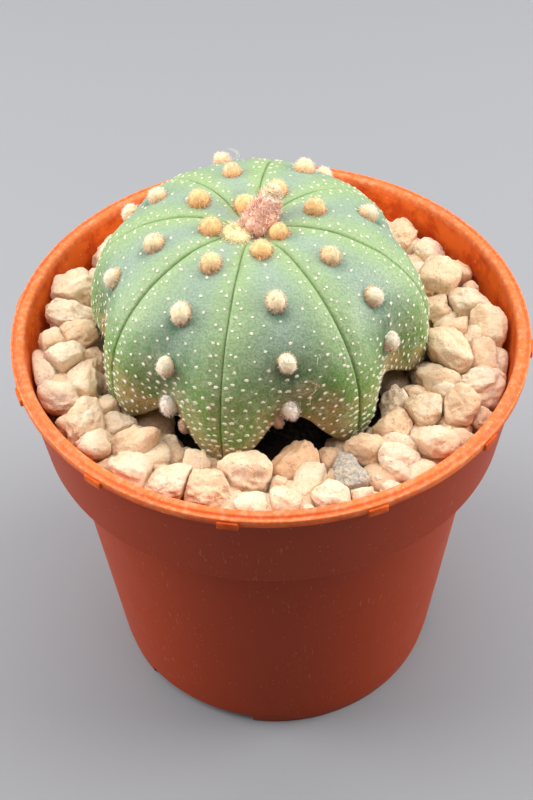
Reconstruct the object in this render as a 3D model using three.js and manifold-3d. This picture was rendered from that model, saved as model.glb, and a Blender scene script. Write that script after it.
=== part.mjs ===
// A ribbed star cactus in a round plastic nursery pot with a tan gravel top.
// Millimetres, Z up, origin on the table at the pot's axis, -Y towards the viewer.
import * as THREE from "three";
import { mergeVertices } from "three/addons/utils/BufferGeometryUtils.js";
import Module from "manifold-3d";

// Pot: 8.5 cm across the rim and 7.5 cm tall.
const POT_HEIGHT = 75;
const RIM_RADIUS = 42.5;
const RIM_INNER = 40.3;
const COLLAR_BOTTOM = 56.7;
const FOOT_RADIUS = 30.2;
const TABS = 12;
const TAB_FIRST = -99.6;
const FOOT_NOTCHES = 3;
const FOOT_NOTCH_FIRST = -121;
const DRAIN_HOLES = 6;

// Filling: soil up to the step of the wall, gravel above it.
const SOIL_TOP = 57.6;
const BED_BOTTOM = 57.95;
const BED_MIDDLE = 64;
const BED_AT_WALL = 68.4;
const FIT = 0.3;

// Plant: a flattened dome about its own axis, which leans a little to the front.
const PLANT_AT = [-2.5, 2.2, 73.9];
const PLANT_LEAN = 3.8;
const BODY_RADIUS = 27.4;
const BODY_RISE = 22.4;
const BODY_POWER = 2.31;
const CROWN_SINK = 2.5;
const FURROWS = [-147, -102, -54, -10, 37, 80, 128, 170];
const ROOT_RADIUS = 5;
const ROOT_LENGTH = 33;

// Wool tufts down the middle of each rib: the first one's millimetres from the crown, the step
// to the next, and how many there are.
const TUFT_FIRST = [11.1, 7.0, 5.0, 10.3, 8.0, 4.4, 9.6, 6.5];
const TUFT_STEP = [8.9, 9.4, 9.1, 9.4, 9.1, 8.0, 8.4, 9.1];
const TUFTS_ON_RIB = [4, 4, 4, 2, 3, 3, 3, 3];

// Faded flower: where its stub starts below the crown, and which way it leans.
const FLOWER_AT = [0.0, -0.8, 18.4];
const FLOWER_LEAN = [0.42, 0.32, 0.85];
const FLOWER_STUB = 1.3;

// Larger stones that show in front and at the sides: x, y, half length, half width, turn.
const LARGE_STONES = [
  [-4.2, -28.6, 4.9, 4.2, 10],
  [2.8, -26.4, 5.6, 3.2, 52],
  [7.8, -23.0, 2.4, 2.3, 0],
  [11.4, -29.8, 4.6, 2.6, 98],
  [14.2, -24.0, 3.4, 3.1, 20],
  [5.4, -31.2, 4.4, 2.3, 62],
  [8.4, -34.2, 3.4, 2.7, 10],
  [-3.6, -35.2, 3.0, 2.4, 0],
  [-10.2, -32.2, 4.2, 3.4, 160],
  [-16.0, -30.2, 3.9, 2.9, 150],
  [-21.8, -28.0, 4.0, 3.0, 140],
  [19.6, -27.6, 4.0, 2.9, 12],
  [25.2, -23.6, 3.9, 3.0, 8],
  [19.2, -19.6, 3.8, 2.9, 70],
  [24.4, -16.8, 3.7, 3.0, 35],
  [29.6, -17.4, 3.2, 3.1, 0],
  [33.6, -18.6, 2.3, 1.8, 80],
  [29.8, -23.2, 2.4, 1.9, 0],
  [20.0, -13.4, 3.5, 3.0, 90],
  [24.0, -11.8, 3.0, 2.1, 170],
  [34.4, -11.6, 4.1, 3.4, 35],
  [25.8, -8.4, 2.8, 2.6, 0],
  [34.6, -4.8, 3.7, 2.6, 95],
  [29.8, -4.6, 5.3, 3.4, 107],
  [36.6, 0.6, 5.0, 3.3, 95],
  [30.8, 1.6, 3.5, 2.2, 10],
  [29.2, 6.0, 2.3, 1.9, 0],
  [34.0, 7.4, 3.4, 3.1, 110],
  [29.0, 12.6, 3.9, 3.6, 40],
  [32.6, 16.6, 3.2, 2.2, 90],
  [29.8, 22.6, 3.3, 2.3, 0],
  [26.4, 28.4, 3.6, 3.2, 70],
  [-11.3, -23.6, 2.9, 2.3, 100],
  [-15.8, -21.0, 3.8, 2.5, 110],
  [-22.0, -21.6, 4.6, 4.0, 25],
  [-27.8, -23.2, 2.9, 2.6, 0],
  [-24.6, -17.4, 3.6, 2.2, 170],
  [-29.2, -19.2, 4.0, 3.2, 80],
  [-33.0, -17.8, 2.2, 1.9, 0],
  [-33.8, -12.8, 4.2, 2.5, 140],
  [-27.2, -13.4, 2.5, 2.2, 30],
  [-30.6, -8.4, 4.9, 3.3, 75],
  [-37.0, -7.0, 2.9, 1.8, 95],
  [-34.2, -4.4, 3.3, 3.0, 40],
  [-30.2, -1.2, 2.9, 2.7, 0],
  [-36.6, 0.6, 3.4, 2.5, 90],
  [-31.8, 2.2, 3.8, 3.2, 20],
  [-34.8, 7.2, 4.2, 3.0, 165],
  [-34.0, 13.8, 4.0, 3.6, 20],
];

const DEGREE = Math.PI / 180;
const blend = (a, b, k) => a + (b - a) * k;

function ease(k) {
  const c = Math.min(1, Math.max(0, k));
  return c * c * (3 - 2 * c);
}

// A repeatable sequence of numbers between 0 and 1.
function sequence(start) {
  let state = start;
  return () => {
    state = (state * 16807) % 2147483647;
    return state / 2147483647;
  };
}

const wasm = await Module();
wasm.setup();

// A closed geometry as a solid that can be joined and cut.
function solid(geometry) {
  geometry.deleteAttribute("normal");
  geometry.deleteAttribute("uv");
  const merged = mergeVertices(geometry, 1e-4);
  return new wasm.Manifold(
    new wasm.Mesh({
      numProp: 3,
      vertProperties: new Float32Array(merged.attributes.position.array),
      triVerts: new Uint32Array(merged.index.array),
    }),
  );
}

// A named piece of the model from a finished solid.
function piece(name, shape, color, roughness) {
  const mesh = shape.getMesh();
  const geometry = new THREE.BufferGeometry();
  geometry.setAttribute("position", new THREE.BufferAttribute(new Float32Array(mesh.vertProperties), 3));
  geometry.setIndex(new THREE.BufferAttribute(new Uint32Array(mesh.triVerts), 1));
  geometry.computeVertexNormals();
  const made = new THREE.Mesh(geometry, new THREE.MeshStandardMaterial({ color, roughness, metalness: 0 }));
  made.name = name;
  return made;
}

// A body turned about Z, from an outline that runs up from the axis and back to it.
function turned(outline, sides) {
  const points = outline.map(([r, z]) => new THREE.Vector2(r, z));
  return new THREE.LatheGeometry(points, sides).rotateX(Math.PI / 2);
}

function rod(radius, bottom, top, sides) {
  const geometry = new THREE.CylinderGeometry(radius, radius, top - bottom, sides);
  return geometry.rotateX(Math.PI / 2).translate(0, 0, (top + bottom) / 2);
}

// A sphere's net with every vertex set by its row, counted from the top, and its column.
function netted(columns, rows, place) {
  const geometry = new THREE.SphereGeometry(1, columns, rows);
  const position = geometry.attributes.position;
  for (let n = 0; n < position.count; n++) {
    const row = Math.floor(n / (columns + 1));
    const column = (n % (columns + 1)) % columns;
    position.setXYZ(n, ...place(row, column));
  }
  return geometry;
}

// The plant's own frame, and a matrix that takes its points to the part's frame.
const plantFrame = new THREE.Group();
plantFrame.name = "plant";
plantFrame.position.set(...PLANT_AT);
plantFrame.rotation.x = PLANT_LEAN * DEGREE;
plantFrame.updateMatrix();

// The plain hole that the taproot stands in.
function rootHole(bottom, top) {
  return solid(rod(ROOT_RADIUS + FIT, bottom, top, 24).applyMatrix4(plantFrame.matrix));
}

// Pot: a moulded shell with a stepped collar, a flat rim, rim tabs and a notched foot.
function makePot() {
  const outline = [
    [0, 2.7],
    [28.4, 2.7],
    [28.7, 0],
    [FOOT_RADIUS, 0],
    [30.75, 3.2],
    [35.95, 56],
    [36.25, COLLAR_BOTTOM - 0.3],
    [39.1, COLLAR_BOTTOM - 0.3],
    [39.5, COLLAR_BOTTOM],
    [41.45, 73.1],
    [42.3, 73.3],
    [RIM_RADIUS, 73.6],
    [RIM_RADIUS, 74.5],
    [42.25, 74.7],
    [41.75, 74.7],
    [41.5, POT_HEIGHT],
    [RIM_INNER + 0.25, POT_HEIGHT],
    [RIM_INNER, 74.75],
    [40.15, 73],
    [38.55, COLLAR_BOTTOM + 0.9],
    [35.05, COLLAR_BOTTOM + 0.9],
    [34.9, 56],
    [29.75, 4.6],
    [29.0, 3.9],
    [0, 3.9],
  ];
  let pot = solid(turned(outline, 60));

  const tab = new THREE.BoxGeometry(2.4, 4.5, 1.8).translate(42, 0, 73.4);
  for (let k = 0; k < TABS; k++) {
    const azimuth = TAB_FIRST + (360 / TABS) * k;
    pot = pot.add(solid(tab.clone().rotateZ(azimuth * DEGREE)));
  }

  const opening = new THREE.Shape([
    new THREE.Vector2(-12.4, -1),
    new THREE.Vector2(12.4, -1),
    new THREE.Vector2(9.6, 2.3),
    new THREE.Vector2(-9.6, 2.3),
  ]);
  const notch = new THREE.ExtrudeGeometry(opening, { depth: 11, bevelEnabled: false });
  notch.rotateX(Math.PI / 2).rotateZ(Math.PI / 2).translate(23, 0, 0);
  for (let k = 0; k < FOOT_NOTCHES; k++) {
    const azimuth = FOOT_NOTCH_FIRST + (360 / FOOT_NOTCHES) * k;
    pot = pot.subtract(solid(notch.clone().rotateZ(azimuth * DEGREE)));
  }

  const drain = rod(2.5, 1, 6, 16).translate(19, 0, 0);
  for (let k = 0; k < DRAIN_HOLES; k++)
    pot = pot.subtract(solid(drain.clone().rotateZ((360 / DRAIN_HOLES) * k * DEGREE)));
  return pot;
}

// Soil: a plug of mix with a plain hole for the taproot.
function makeSoil() {
  const outline = [[0, 4.25], [28.6, 4.25], [29.4, 5.0], [34.55, 55.9], [34.7, SOIL_TOP], [0, SOIL_TOP]];
  return solid(turned(outline, 48)).subtract(rootHole(-ROOT_LENGTH - FIT, 0));
}

// Azimuth in the middle between two furrows, or any part of the way.
function betweenFurrows(k, part) {
  const to = k + 1 < FURROWS.length ? FURROWS[k + 1] : FURROWS[0] + 360;
  return blend(FURROWS[k], to, part);
}

// 0 on a furrow and 1 half way to the next, where the tufts stand.
function ribPlace(azimuth) {
  const a = ((((azimuth - FURROWS[0]) % 360) + 360) % 360) + FURROWS[0];
  let k = FURROWS.length - 1;
  while (FURROWS[k] > a) k--;
  const middle = betweenFurrows(k, 0.5);
  return 1 - Math.abs(a - middle) / (middle - FURROWS[k]);
}

// The right-hand lobe is fuller than the others.
const fuller = (azimuth) => Math.exp(-(((azimuth + 10) / 22) ** 2));

// How far the arches between the lobes rise, in degrees of the dome: the one in front is tallest.
const archRise = (azimuth) => 13.2 + 3.4 * Math.exp(-(((azimuth + 78) / 28) ** 2));

// A point on the skin, in the plant's frame: s runs from 0 at the crown to 1 at the lower edge.
function skin(azimuth, s) {
  const place = ribPlace(azimuth);
  const arch = archRise(azimuth) * Math.sin((place * Math.PI) / 2) ** 1.5;
  const lowest = 106.4 + 4.4 * Math.sin(azimuth * DEGREE) - arch;
  const angle = (90 - s * lowest) * DEGREE;
  const power = 2 / BODY_POWER;
  let r = BODY_RADIUS * (1 + 0.05 * fuller(azimuth)) * Math.abs(Math.cos(angle)) ** power;
  let z = BODY_RISE * Math.sign(Math.sin(angle)) * Math.abs(Math.sin(angle)) ** power;

  const low = ease((20 - z) / 20);
  const shoulder = Math.max(0, 1 - place / 0.36) ** 2;
  const across = (r * place * 22.5 * DEGREE) / 0.5;
  const crease = 0.7 * Math.exp(-(across ** 2)) * (1 - 0.75 * low);
  const valley = 3 * low * ease((place - 0.1) / 0.9);
  const inset = (0.55 * shoulder * (1 - 0.4 * low) + crease) * Math.min(1, r / 6) + valley;
  r = Math.max(0, r - inset * Math.cos(angle));
  z -= inset * Math.max(0, Math.sin(angle)) + CROWN_SINK * Math.exp(-((r / 7) ** 2));
  return [r * Math.cos(azimuth * DEGREE), r * Math.sin(azimuth * DEGREE), z];
}

// Where on a rib's middle line a tuft stands that is this far from the crown along the skin.
function alongRib(azimuth, far) {
  let s = 0;
  let gone = 0;
  let before = new THREE.Vector3(...skin(azimuth, 0));
  while (s < 1 && gone < far) {
    s += 0.005;
    const here = new THREE.Vector3(...skin(azimuth, s));
    gone += here.distanceTo(before);
    before = here;
  }
  return s;
}

// Tuft: a small mound of wool that stands square to the skin, with its root sunk in it.
function makeTuft(azimuth, s, across, along, tall) {
  const at = new THREE.Vector3(...skin(azimuth, s));
  const down = new THREE.Vector3(...skin(azimuth, s + 0.03)).sub(at).normalize();
  const side = new THREE.Vector3(-Math.sin(azimuth * DEGREE), Math.cos(azimuth * DEGREE), 0);
  const out = new THREE.Vector3().crossVectors(down, side).normalize();
  const stand = new THREE.Matrix4().makeBasis(down, side, out).setPosition(at);
  const levels = [[0, tall], [0.66, tall * 0.94], [1.08, 0.5], [0.8, -1], [0, -1]];
  const mound = netted(6, 4, (row, column) => {
    const [size, height] = levels[row];
    const a = (column / 6) * 2 * Math.PI;
    return [along * size * Math.cos(a), across * size * Math.sin(a), height];
  });
  return solid(mound.applyMatrix4(stand));
}

// Cactus: a ribbed dome whose lobes reach the gravel, its taproot and its wool tufts.
function makeCactus() {
  const parts = [0, 0.03, 0.08, 0.18, 0.32, 0.5, 0.68, 0.82, 0.92, 0.97];
  const azimuths = FURROWS.flatMap((_, k) => parts.map((part) => betweenFurrows(k, part)));
  const dome = [0, 0.04, 0.09, 0.16, 0.24, 0.32, 0.4, 0.48, 0.56, 0.64, 0.72, 0.8, 0.87, 0.92, 0.965, 1];
  const under = [[0.95, 0, 0.8], [0.84, 0, 1.1], [0.62, 0.35, 0.9], [0.4, 0.7, 1.2]];
  const root = [[1, -9.3], [1, 2 - ROOT_LENGTH], [0.84, -ROOT_LENGTH], [0, -ROOT_LENGTH]];
  const rows = dome.length + under.length + root.length - 1;
  const body = netted(azimuths.length, rows, (row, column) => {
    const azimuth = azimuths[column];
    if (row < dome.length) return skin(azimuth, dome[row]);
    if (row < dome.length + under.length) {
      const [part, level, drop] = under[row - dome.length];
      const [x, y, z] = skin(azimuth, 1);
      return [x * part, y * part, blend(z - drop, -8, level)];
    }
    const [part, z] = root[row - dome.length - under.length];
    const r = ROOT_RADIUS * part;
    return [r * Math.cos(azimuth * DEGREE), r * Math.sin(azimuth * DEGREE), z];
  });

  let cactus = solid(body);
  FURROWS.forEach((_, k) => {
    const azimuth = betweenFurrows(k, 0.5);
    for (let n = 0; n < TUFTS_ON_RIB[k]; n++) {
      const s = alongRib(azimuth, TUFT_FIRST[k] + n * TUFT_STEP[k]);
      cactus = cactus.add(makeTuft(azimuth, s, 1.35, 1.6, 1.6));
    }
  });
  const crownWool = makeTuft(-140, alongRib(-140, 2.7), 2.7, 1.5, 1.1);
  const socket = solid(rod(FLOWER_STUB + FIT, -FIT, 6, 16).applyMatrix4(flowerFrame.matrix));
  return cactus.add(crownWool).subtract(socket);
}

// Faded flower: a leaning tuft of dry bristle whose stub stands in the crown.
const flowerFrame = new THREE.Group();
flowerFrame.name = "flower";
flowerFrame.position.set(...FLOWER_AT);
flowerFrame.quaternion.setFromUnitVectors(
  new THREE.Vector3(0, 0, 1),
  new THREE.Vector3(...FLOWER_LEAN).normalize(),
);
flowerFrame.updateMatrix();

function makeFlower() {
  const outline = [
    [0, 0],
    [FLOWER_STUB, 0],
    [FLOWER_STUB, 3.0],
    [2.2, 4.2],
    [2.9, 5.3],
    [2.8, 6.6],
    [1.9, 8.0],
    [1.4, 9.0],
    [0, 9.7],
  ];
  return solid(turned(outline, 10));
}

// How far out from its own axis the plant keeps the stones.
function plantReach(azimuth) {
  return blend(26.3 + 1.4 * fuller(azimuth), 23.5, ease((ribPlace(azimuth) - 0.5) / 0.4));
}

// How far a stone has to move to lie clear of the plant, and which way.
function crowding({ x, y, long, wide, turn }) {
  const out = Math.atan2(y - PLANT_AT[1], x - PLANT_AT[0]);
  const gap = Math.hypot(x - PLANT_AT[0], y - PLANT_AT[1]);
  const a = turn * DEGREE - out;
  const half = 1.15 * Math.hypot(long * Math.cos(a), wide * Math.sin(a));
  return [plantReach(out / DEGREE) + half + FIT - gap, out];
}

// A stone, moved out from the plant and then in from the pot's wall where it would touch.
function settle(x, y, long, wide, turn) {
  const stone = { x, y, long, wide, turn, size: (long + wide) / 2 };
  const [push, out] = crowding(stone);
  if (push > 0) {
    stone.x += push * Math.cos(out);
    stone.y += push * Math.sin(out);
  }
  const a = turn * DEGREE - Math.atan2(stone.y, stone.x);
  const half = 1.12 * Math.hypot(long * Math.cos(a), wide * Math.sin(a));
  const k = Math.min(1, (39.3 - half) / Math.hypot(stone.x, stone.y));
  stone.x *= k;
  stone.y *= k;
  return stone;
}

// Stones: the large ones by hand, then smaller ones dropped wherever there is room.
function layStones() {
  const next = sequence(4111);
  const stones = LARGE_STONES.map((stone) => settle(...stone));
  const sizes = [[3000, 3.2, 4.2], [5000, 2.4, 3.1], [9000, 1.5, 2.1]];
  for (const [tries, small, large] of sizes)
    for (let n = 0; n < tries; n++) {
      const azimuth = (next() * 2 - 1) * Math.PI;
      const far = Math.sqrt(blend(20 * 20, 37.5 * 37.5, next()));
      const size = blend(small, large, next());
      const stretch = 1 + 0.3 * next();
      const turn = next() * 180;
      const [x, y] = [far * Math.cos(azimuth), far * Math.sin(azimuth)];
      const [dx, dy] = [x - PLANT_AT[0], y - PLANT_AT[1]];
      if (far + size > 39) continue;
      if (Math.hypot(dx, dy) < plantReach(Math.atan2(dy, dx) / DEGREE) + size) continue;
      const stone = settle(x, y, size * stretch, size, turn);
      const near = (o) => Math.hypot(o.x - stone.x, o.y - stone.y) < 0.8 * (o.size + stone.size);
      if (crowding(stone)[0] < 0.1 && !stones.some(near)) stones.push(stone);
    }
  return stones;
}

// The level of the gravel under its top stones: low under the plant, banked up to the wall.
function bedLevel(x, y) {
  const gap = Math.hypot(x - PLANT_AT[0], y - PLANT_AT[1]);
  return blend(BED_MIDDLE, BED_AT_WALL, ease((gap - 24.5) / 9));
}

// A stone's upper half is rounded, and its lower half goes straight down into the bed.
function makeStone({ x, y, long, wide, turn }, number) {
  const next = sequence(977 + 131 * number);
  const sides = wide < 2.4 ? 5 : 6;
  const dents = Array.from({ length: 2 * sides }, () => blend(0.9, 1.1, next()));
  const levels = [[0, 0.95, 0], [0.7, 0.78, 0], [1.08, 0, 1], [1.08, -1.6, 1], [0, -1.6, 0]];
  const stone = netted(sides, 4, (row, column) => {
    const [size, height, half] = levels[row];
    const a = ((column - half / 2) / sides) * 2 * Math.PI;
    const r = size * dents[column + half * sides];
    return [long * r * Math.cos(a), wide * r * Math.sin(a), 0.86 * wide * height];
  });
  stone.rotateZ(turn * DEGREE);
  return solid(stone.translate(x, y, bedLevel(x, y) + 0.4 * wide));
}

// Gravel: one bed with a plain hole for the taproot, and the top stones sunk in it.
function makeGravel() {
  const reaches = [0, 20, 24, 27, 30, 34, 39.1, 38.1, 0];
  const bed = netted(48, reaches.length - 1, (row, column) => {
    const a = (column / 48) * 2 * Math.PI;
    const [x, y] = [reaches[row] * Math.cos(a), reaches[row] * Math.sin(a)];
    return [x, y, row < 7 ? bedLevel(x, y) : BED_BOTTOM];
  });
  let gravel = solid(bed);
  layStones().forEach((stone, number) => {
    gravel = gravel.add(makeStone(stone, number));
  });
  return gravel.subtract(rootHole(-20, 0));
}

const part = new THREE.Group();
part.name = "potted_star_cactus";
part.add(piece("pot", makePot(), 0xc2491d, 0.45));
part.add(piece("soil", makeSoil(), 0x4a3a2c, 0.95));
part.add(piece("gravel", makeGravel(), 0xd8bd92, 0.95));
part.add(plantFrame);
plantFrame.add(piece("cactus", makeCactus(), 0x6f9c68, 0.6));
plantFrame.add(flowerFrame);
flowerFrame.add(piece("flower_remnant", makeFlower(), 0xc98372, 0.95));

export default part;
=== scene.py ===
# A star cactus in a terracotta-coloured plastic nursery pot, top-dressed with tan gravel.
# Shapes are worked out in millimetres and turned to metres as each mesh is made.
import math
import random

import bmesh
import bpy
import numpy as np
from mathutils import Matrix, Vector, noise
from mathutils.bvhtree import BVHTree


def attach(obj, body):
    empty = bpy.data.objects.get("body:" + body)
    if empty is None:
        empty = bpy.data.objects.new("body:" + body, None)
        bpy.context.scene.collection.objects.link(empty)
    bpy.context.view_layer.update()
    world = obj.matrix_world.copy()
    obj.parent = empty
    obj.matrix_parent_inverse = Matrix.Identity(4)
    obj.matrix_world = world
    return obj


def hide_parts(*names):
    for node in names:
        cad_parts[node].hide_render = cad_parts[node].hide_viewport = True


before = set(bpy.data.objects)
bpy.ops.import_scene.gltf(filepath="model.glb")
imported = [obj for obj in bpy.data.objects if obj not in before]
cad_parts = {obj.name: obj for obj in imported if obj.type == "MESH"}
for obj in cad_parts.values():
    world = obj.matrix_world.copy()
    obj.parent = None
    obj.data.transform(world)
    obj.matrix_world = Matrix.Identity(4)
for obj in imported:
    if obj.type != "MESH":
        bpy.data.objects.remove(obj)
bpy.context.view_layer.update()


# Camera: it looks down on the plant from the front, about a quarter of a metre away, with a
# lens a little longer than normal and the picture turned by a degree and a half.
VIEW_DOWN = math.radians(46.15)
VIEW_ROLL = math.radians(-1.58)
VIEW_DISTANCE = 0.2438
VIEW_CENTRE = Vector((-0.00096, 0.0, 0.0559))
LENS_MM = 63.0

camera = bpy.data.objects.new("camera", bpy.data.cameras.new("camera"))
camera.data.lens = LENS_MM
camera.data.clip_start = 0.01
turn = Matrix.Rotation(math.pi / 2 - VIEW_DOWN, 4, "X") @ Matrix.Rotation(VIEW_ROLL, 4, "Z")
away = Matrix.Translation((0, 0, VIEW_DISTANCE))
camera.matrix_world = Matrix.Translation(VIEW_CENTRE) @ turn @ away
bpy.context.collection.objects.link(camera)
bpy.context.scene.camera = camera


# Studio: a plain pale sheet under the pot, one big soft light overhead and behind, and two
# weak ones at the sides that draw the edges of the pot.
def linear(colour):
    """A hex colour as linear red, green, blue and alpha."""
    parts = [int(colour[k : k + 2], 16) / 255 for k in (1, 3, 5)]
    return [v / 12.92 if v <= 0.04045 else ((v + 0.055) / 1.055) ** 2.4 for v in parts] + [1.0]


def node(tree, kind, sockets, **settings):
    """A new shader node: its settings, and for each socket a number or another node's output."""
    made = tree.nodes.new("ShaderNode" + kind)
    for key, value in settings.items():
        setattr(made, key, value)
    for socket, value in sockets.items():
        if isinstance(value, bpy.types.NodeSocket):
            tree.links.new(value, made.inputs[socket])
        else:
            made.inputs[socket].default_value = value
    return made


def material(name, sockets):
    """A new material, its nodes and its shader, with what is even all over the surface set on it."""
    made = bpy.data.materials.new(name)
    made.use_nodes = True
    shader = made.node_tree.nodes["Principled BSDF"]
    for socket, value in sockets.items():
        shader.inputs[socket].default_value = value
    return made, made.node_tree, shader


def soft_light(name, place, aim, size, watts):
    """A round soft light at a place, turned towards its aim."""
    data = bpy.data.lights.new(name, "AREA")
    data.shape = "DISK"
    data.size = size
    data.energy = watts
    light = bpy.data.objects.new(name, data)
    light.location = place
    light.rotation_euler = (Vector(aim) - Vector(place)).to_track_quat("-Z", "Y").to_euler()
    bpy.context.collection.objects.link(light)


# Matt paper: no gloss, so the sheet stays even under the lights.
paper, _, _ = material("matt_paper_sheet", {"Base Color": linear("#929396"), "Roughness": 0.9})

SHEET_HALF = 1.5
sheet = bpy.data.meshes.new("floor")
corners = [(x * SHEET_HALF, y * SHEET_HALF, 0) for x, y in [(-1, -1), (1, -1), (1, 1), (-1, 1)]]
sheet.from_pydata(corners, [], [(0, 1, 2, 3)])
floor = bpy.data.objects.new("floor", sheet)
sheet.materials.append(paper)
bpy.context.collection.objects.link(floor)

soft_light("overhead", (0.0, 0.09, 0.55), (0, 0, 0.07), 0.95, 5.7)
soft_light("left_edge", (-0.5, 0.04, 0.26), (0, 0, 0.05), 0.35, 2.6)
soft_light("right_edge", (0.5, 0.04, 0.26), (0, 0, 0.05), 0.35, 2.6)

world = bpy.data.worlds.new("room")
world.use_nodes = True
world.node_tree.nodes["Background"].inputs["Color"].default_value = linear("#C9CDD4")
world.node_tree.nodes["Background"].inputs["Strength"].default_value = 0.15
bpy.context.scene.world = world
bpy.context.scene.view_settings.view_transform = "Standard"


# Pot: one thin shell of terracotta-coloured polypropylene, injection-moulded in one shot. Its
# collar is stepped so that pots stack, and small tabs under the rim knock out of the mould.
MM = 0.001
POT_SIDES = 240
RIM_RADIUS = 42.5
POT_HEIGHT = 75.0
STEP_HEIGHT = 56.7
COLLAR_FLOOR = STEP_HEIGHT + 0.9
COLLAR_LIP = 73.0
COLLAR_INSIDE_LOW = 38.55
COLLAR_INSIDE_HIGH = 40.15
TABS = 12
TAB_FIRST = -99.6
TAB_WIDTH = 3.2
NOTCHES = 3
NOTCH_FIRST = -121.0
NOTCH_WIDTH = 22.0
NOTCH_HEIGHT = 2.3
DRAIN_HOLES = 6
DRAIN_RADIUS = 2.5
DRAIN_FROM_AXIS = 19.0


def blend(a, b, k):
    """The value a part k of the way from a to b."""
    return a + (b - a) * k


def new_mesh(name, points, faces, finish=None):
    """A smooth-shaded mesh object from points in millimetres."""
    mesh = bpy.data.meshes.new(name)
    mesh.from_pydata((np.asarray(points, float) * MM).tolist(), [], [tuple(f) for f in faces])
    mesh.shade_smooth()
    if finish:
        mesh.materials.append(finish)
    made = bpy.data.objects.new(name, mesh)
    bpy.context.collection.objects.link(made)
    return made


def rounded(outline, radius, steps=4):
    """An outline of (r, z) points with each inner corner rounded."""
    soft = [outline[0]]
    for before, here, after in zip(outline, outline[1:], outline[2:]):
        b, h, a = (np.array(p, float) for p in (before, here, after))
        cut = min(radius, 0.45 * np.linalg.norm(b - h), 0.45 * np.linalg.norm(a - h))
        start = h + (b - h) / np.linalg.norm(b - h) * cut
        end = h + (a - h) / np.linalg.norm(a - h) * cut
        for k in np.linspace(0, 1, steps):
            soft.append(tuple(blend(blend(start, h, k), blend(h, end, k), k)))
    return soft + [outline[-1]]


def ring_faces(rings, sides):
    """Faces of a closed body: its first point is the lowest, then rings from there up, then its last."""
    last = 1 + rings * sides
    faces = []
    for k in range(sides):
        n = (k + 1) % sides
        faces.append((0, 1 + n, 1 + k))
        for ring in range(rings - 1):
            a, b = 1 + ring * sides, 1 + (ring + 1) * sides
            faces.append((a + k, a + n, b + n, b + k))
        top = last - sides
        faces.append((top + k, top + n, last))
    return faces


def turned(outline, sides):
    """Points and faces of a body turned about Z from an outline that starts and ends on the axis."""
    angles = np.arange(sides) * 2 * math.pi / sides
    points = [(0, 0, outline[0][1])]
    for r, z in outline[1:-1]:
        points += [(r * math.cos(a), r * math.sin(a), z) for a in angles]
    points.append((0, 0, outline[-1][1]))
    return np.array(points), ring_faces(len(outline) - 2, sides)


def box(name, low, high, azimuth, bevel=0.0):
    """A box between two corners, turned about the pot's axis."""
    mesh = bmesh.new()
    bmesh.ops.create_cube(mesh, size=1)
    size = Vector(high) - Vector(low)
    middle = (Vector(high) + Vector(low)) / 2
    for v in mesh.verts:
        v.co = Vector((v.co.x * size.x, v.co.y * size.y, v.co.z * size.z)) + middle
    if bevel:
        edges = mesh.edges[:]
        bmesh.ops.bevel(mesh, geom=edges, offset=bevel, segments=3, affect="EDGES", profile=0.5)
    turn = Matrix.Rotation(math.radians(azimuth), 3, "Z")
    bmesh.ops.rotate(mesh, cent=(0, 0, 0), matrix=turn, verts=mesh.verts)
    bmesh.ops.scale(mesh, vec=(MM, MM, MM), verts=mesh.verts)
    data = bpy.data.meshes.new(name)
    mesh.to_mesh(data)
    mesh.free()
    made = bpy.data.objects.new(name, data)
    bpy.context.collection.objects.link(made)
    return made


def join_or_cut(body, tools, operation):
    """Applies one boolean of all the tools to the body, and removes them."""
    group = bpy.data.collections.new("tools")
    bpy.context.scene.collection.children.link(group)
    for tool in tools:
        bpy.context.collection.objects.unlink(tool)
        group.objects.link(tool)
    change = body.modifiers.new(operation, "BOOLEAN")
    change.operand_type = "COLLECTION"
    change.collection = group
    change.operation = operation
    change.solver = "MANIFOLD"
    graph = bpy.context.evaluated_depsgraph_get()
    body.data = bpy.data.meshes.new_from_object(body.evaluated_get(graph))
    body.modifiers.clear()
    for tool in tools:
        bpy.data.objects.remove(tool)
    bpy.data.collections.remove(group)


def set_mark(piece, name, values):
    """Stores one number a vertex, which the piece's material reads by this name."""
    mark = piece.data.attributes.new(name, "FLOAT", "POINT")
    mark.data.foreach_set("value", np.asarray(values, np.float32).ravel())


POT_OUTLINE = [
    (0, 2.7), (28.4, 2.7), (28.7, 0), (30.2, 0), (30.75, 3.2), (35.95, 56),
    (36.25, STEP_HEIGHT - 0.3), (39.1, STEP_HEIGHT - 0.3), (39.5, STEP_HEIGHT), (41.45, 73.1),
    (42.3, 73.25), (RIM_RADIUS, 73.5), (RIM_RADIUS, 74.75), (42.15, 74.8), (41.95, 74.5),
    (41.65, 74.55), (41.45, POT_HEIGHT), (40.5, POT_HEIGHT), (40.25, 74.7),
    (COLLAR_INSIDE_HIGH, COLLAR_LIP), (COLLAR_INSIDE_LOW, COLLAR_FLOOR), (35.05, COLLAR_FLOOR),
    (34.9, 56), (29.75, 4.6), (29.0, 3.9), (0, 3.9),
]
pot = new_mesh("pot_shell", *turned(rounded(POT_OUTLINE, 0.45), POT_SIDES))
tab_low, tab_high = (40.9, -TAB_WIDTH / 2, 72.9), (42.85, TAB_WIDTH / 2, 74.3)
tabs = [box(f"tab_{k}", tab_low, tab_high, TAB_FIRST + k * 360 / TABS, 0.18) for k in range(TABS)]
join_or_cut(pot, tabs, "UNION")
cuts = []
for k in range(NOTCHES):
    low, high = (23, -NOTCH_WIDTH / 2, -1), (34, NOTCH_WIDTH / 2, NOTCH_HEIGHT)
    cuts.append(box(f"notch_{k}", low, high, NOTCH_FIRST + k * 360 / NOTCHES))
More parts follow.
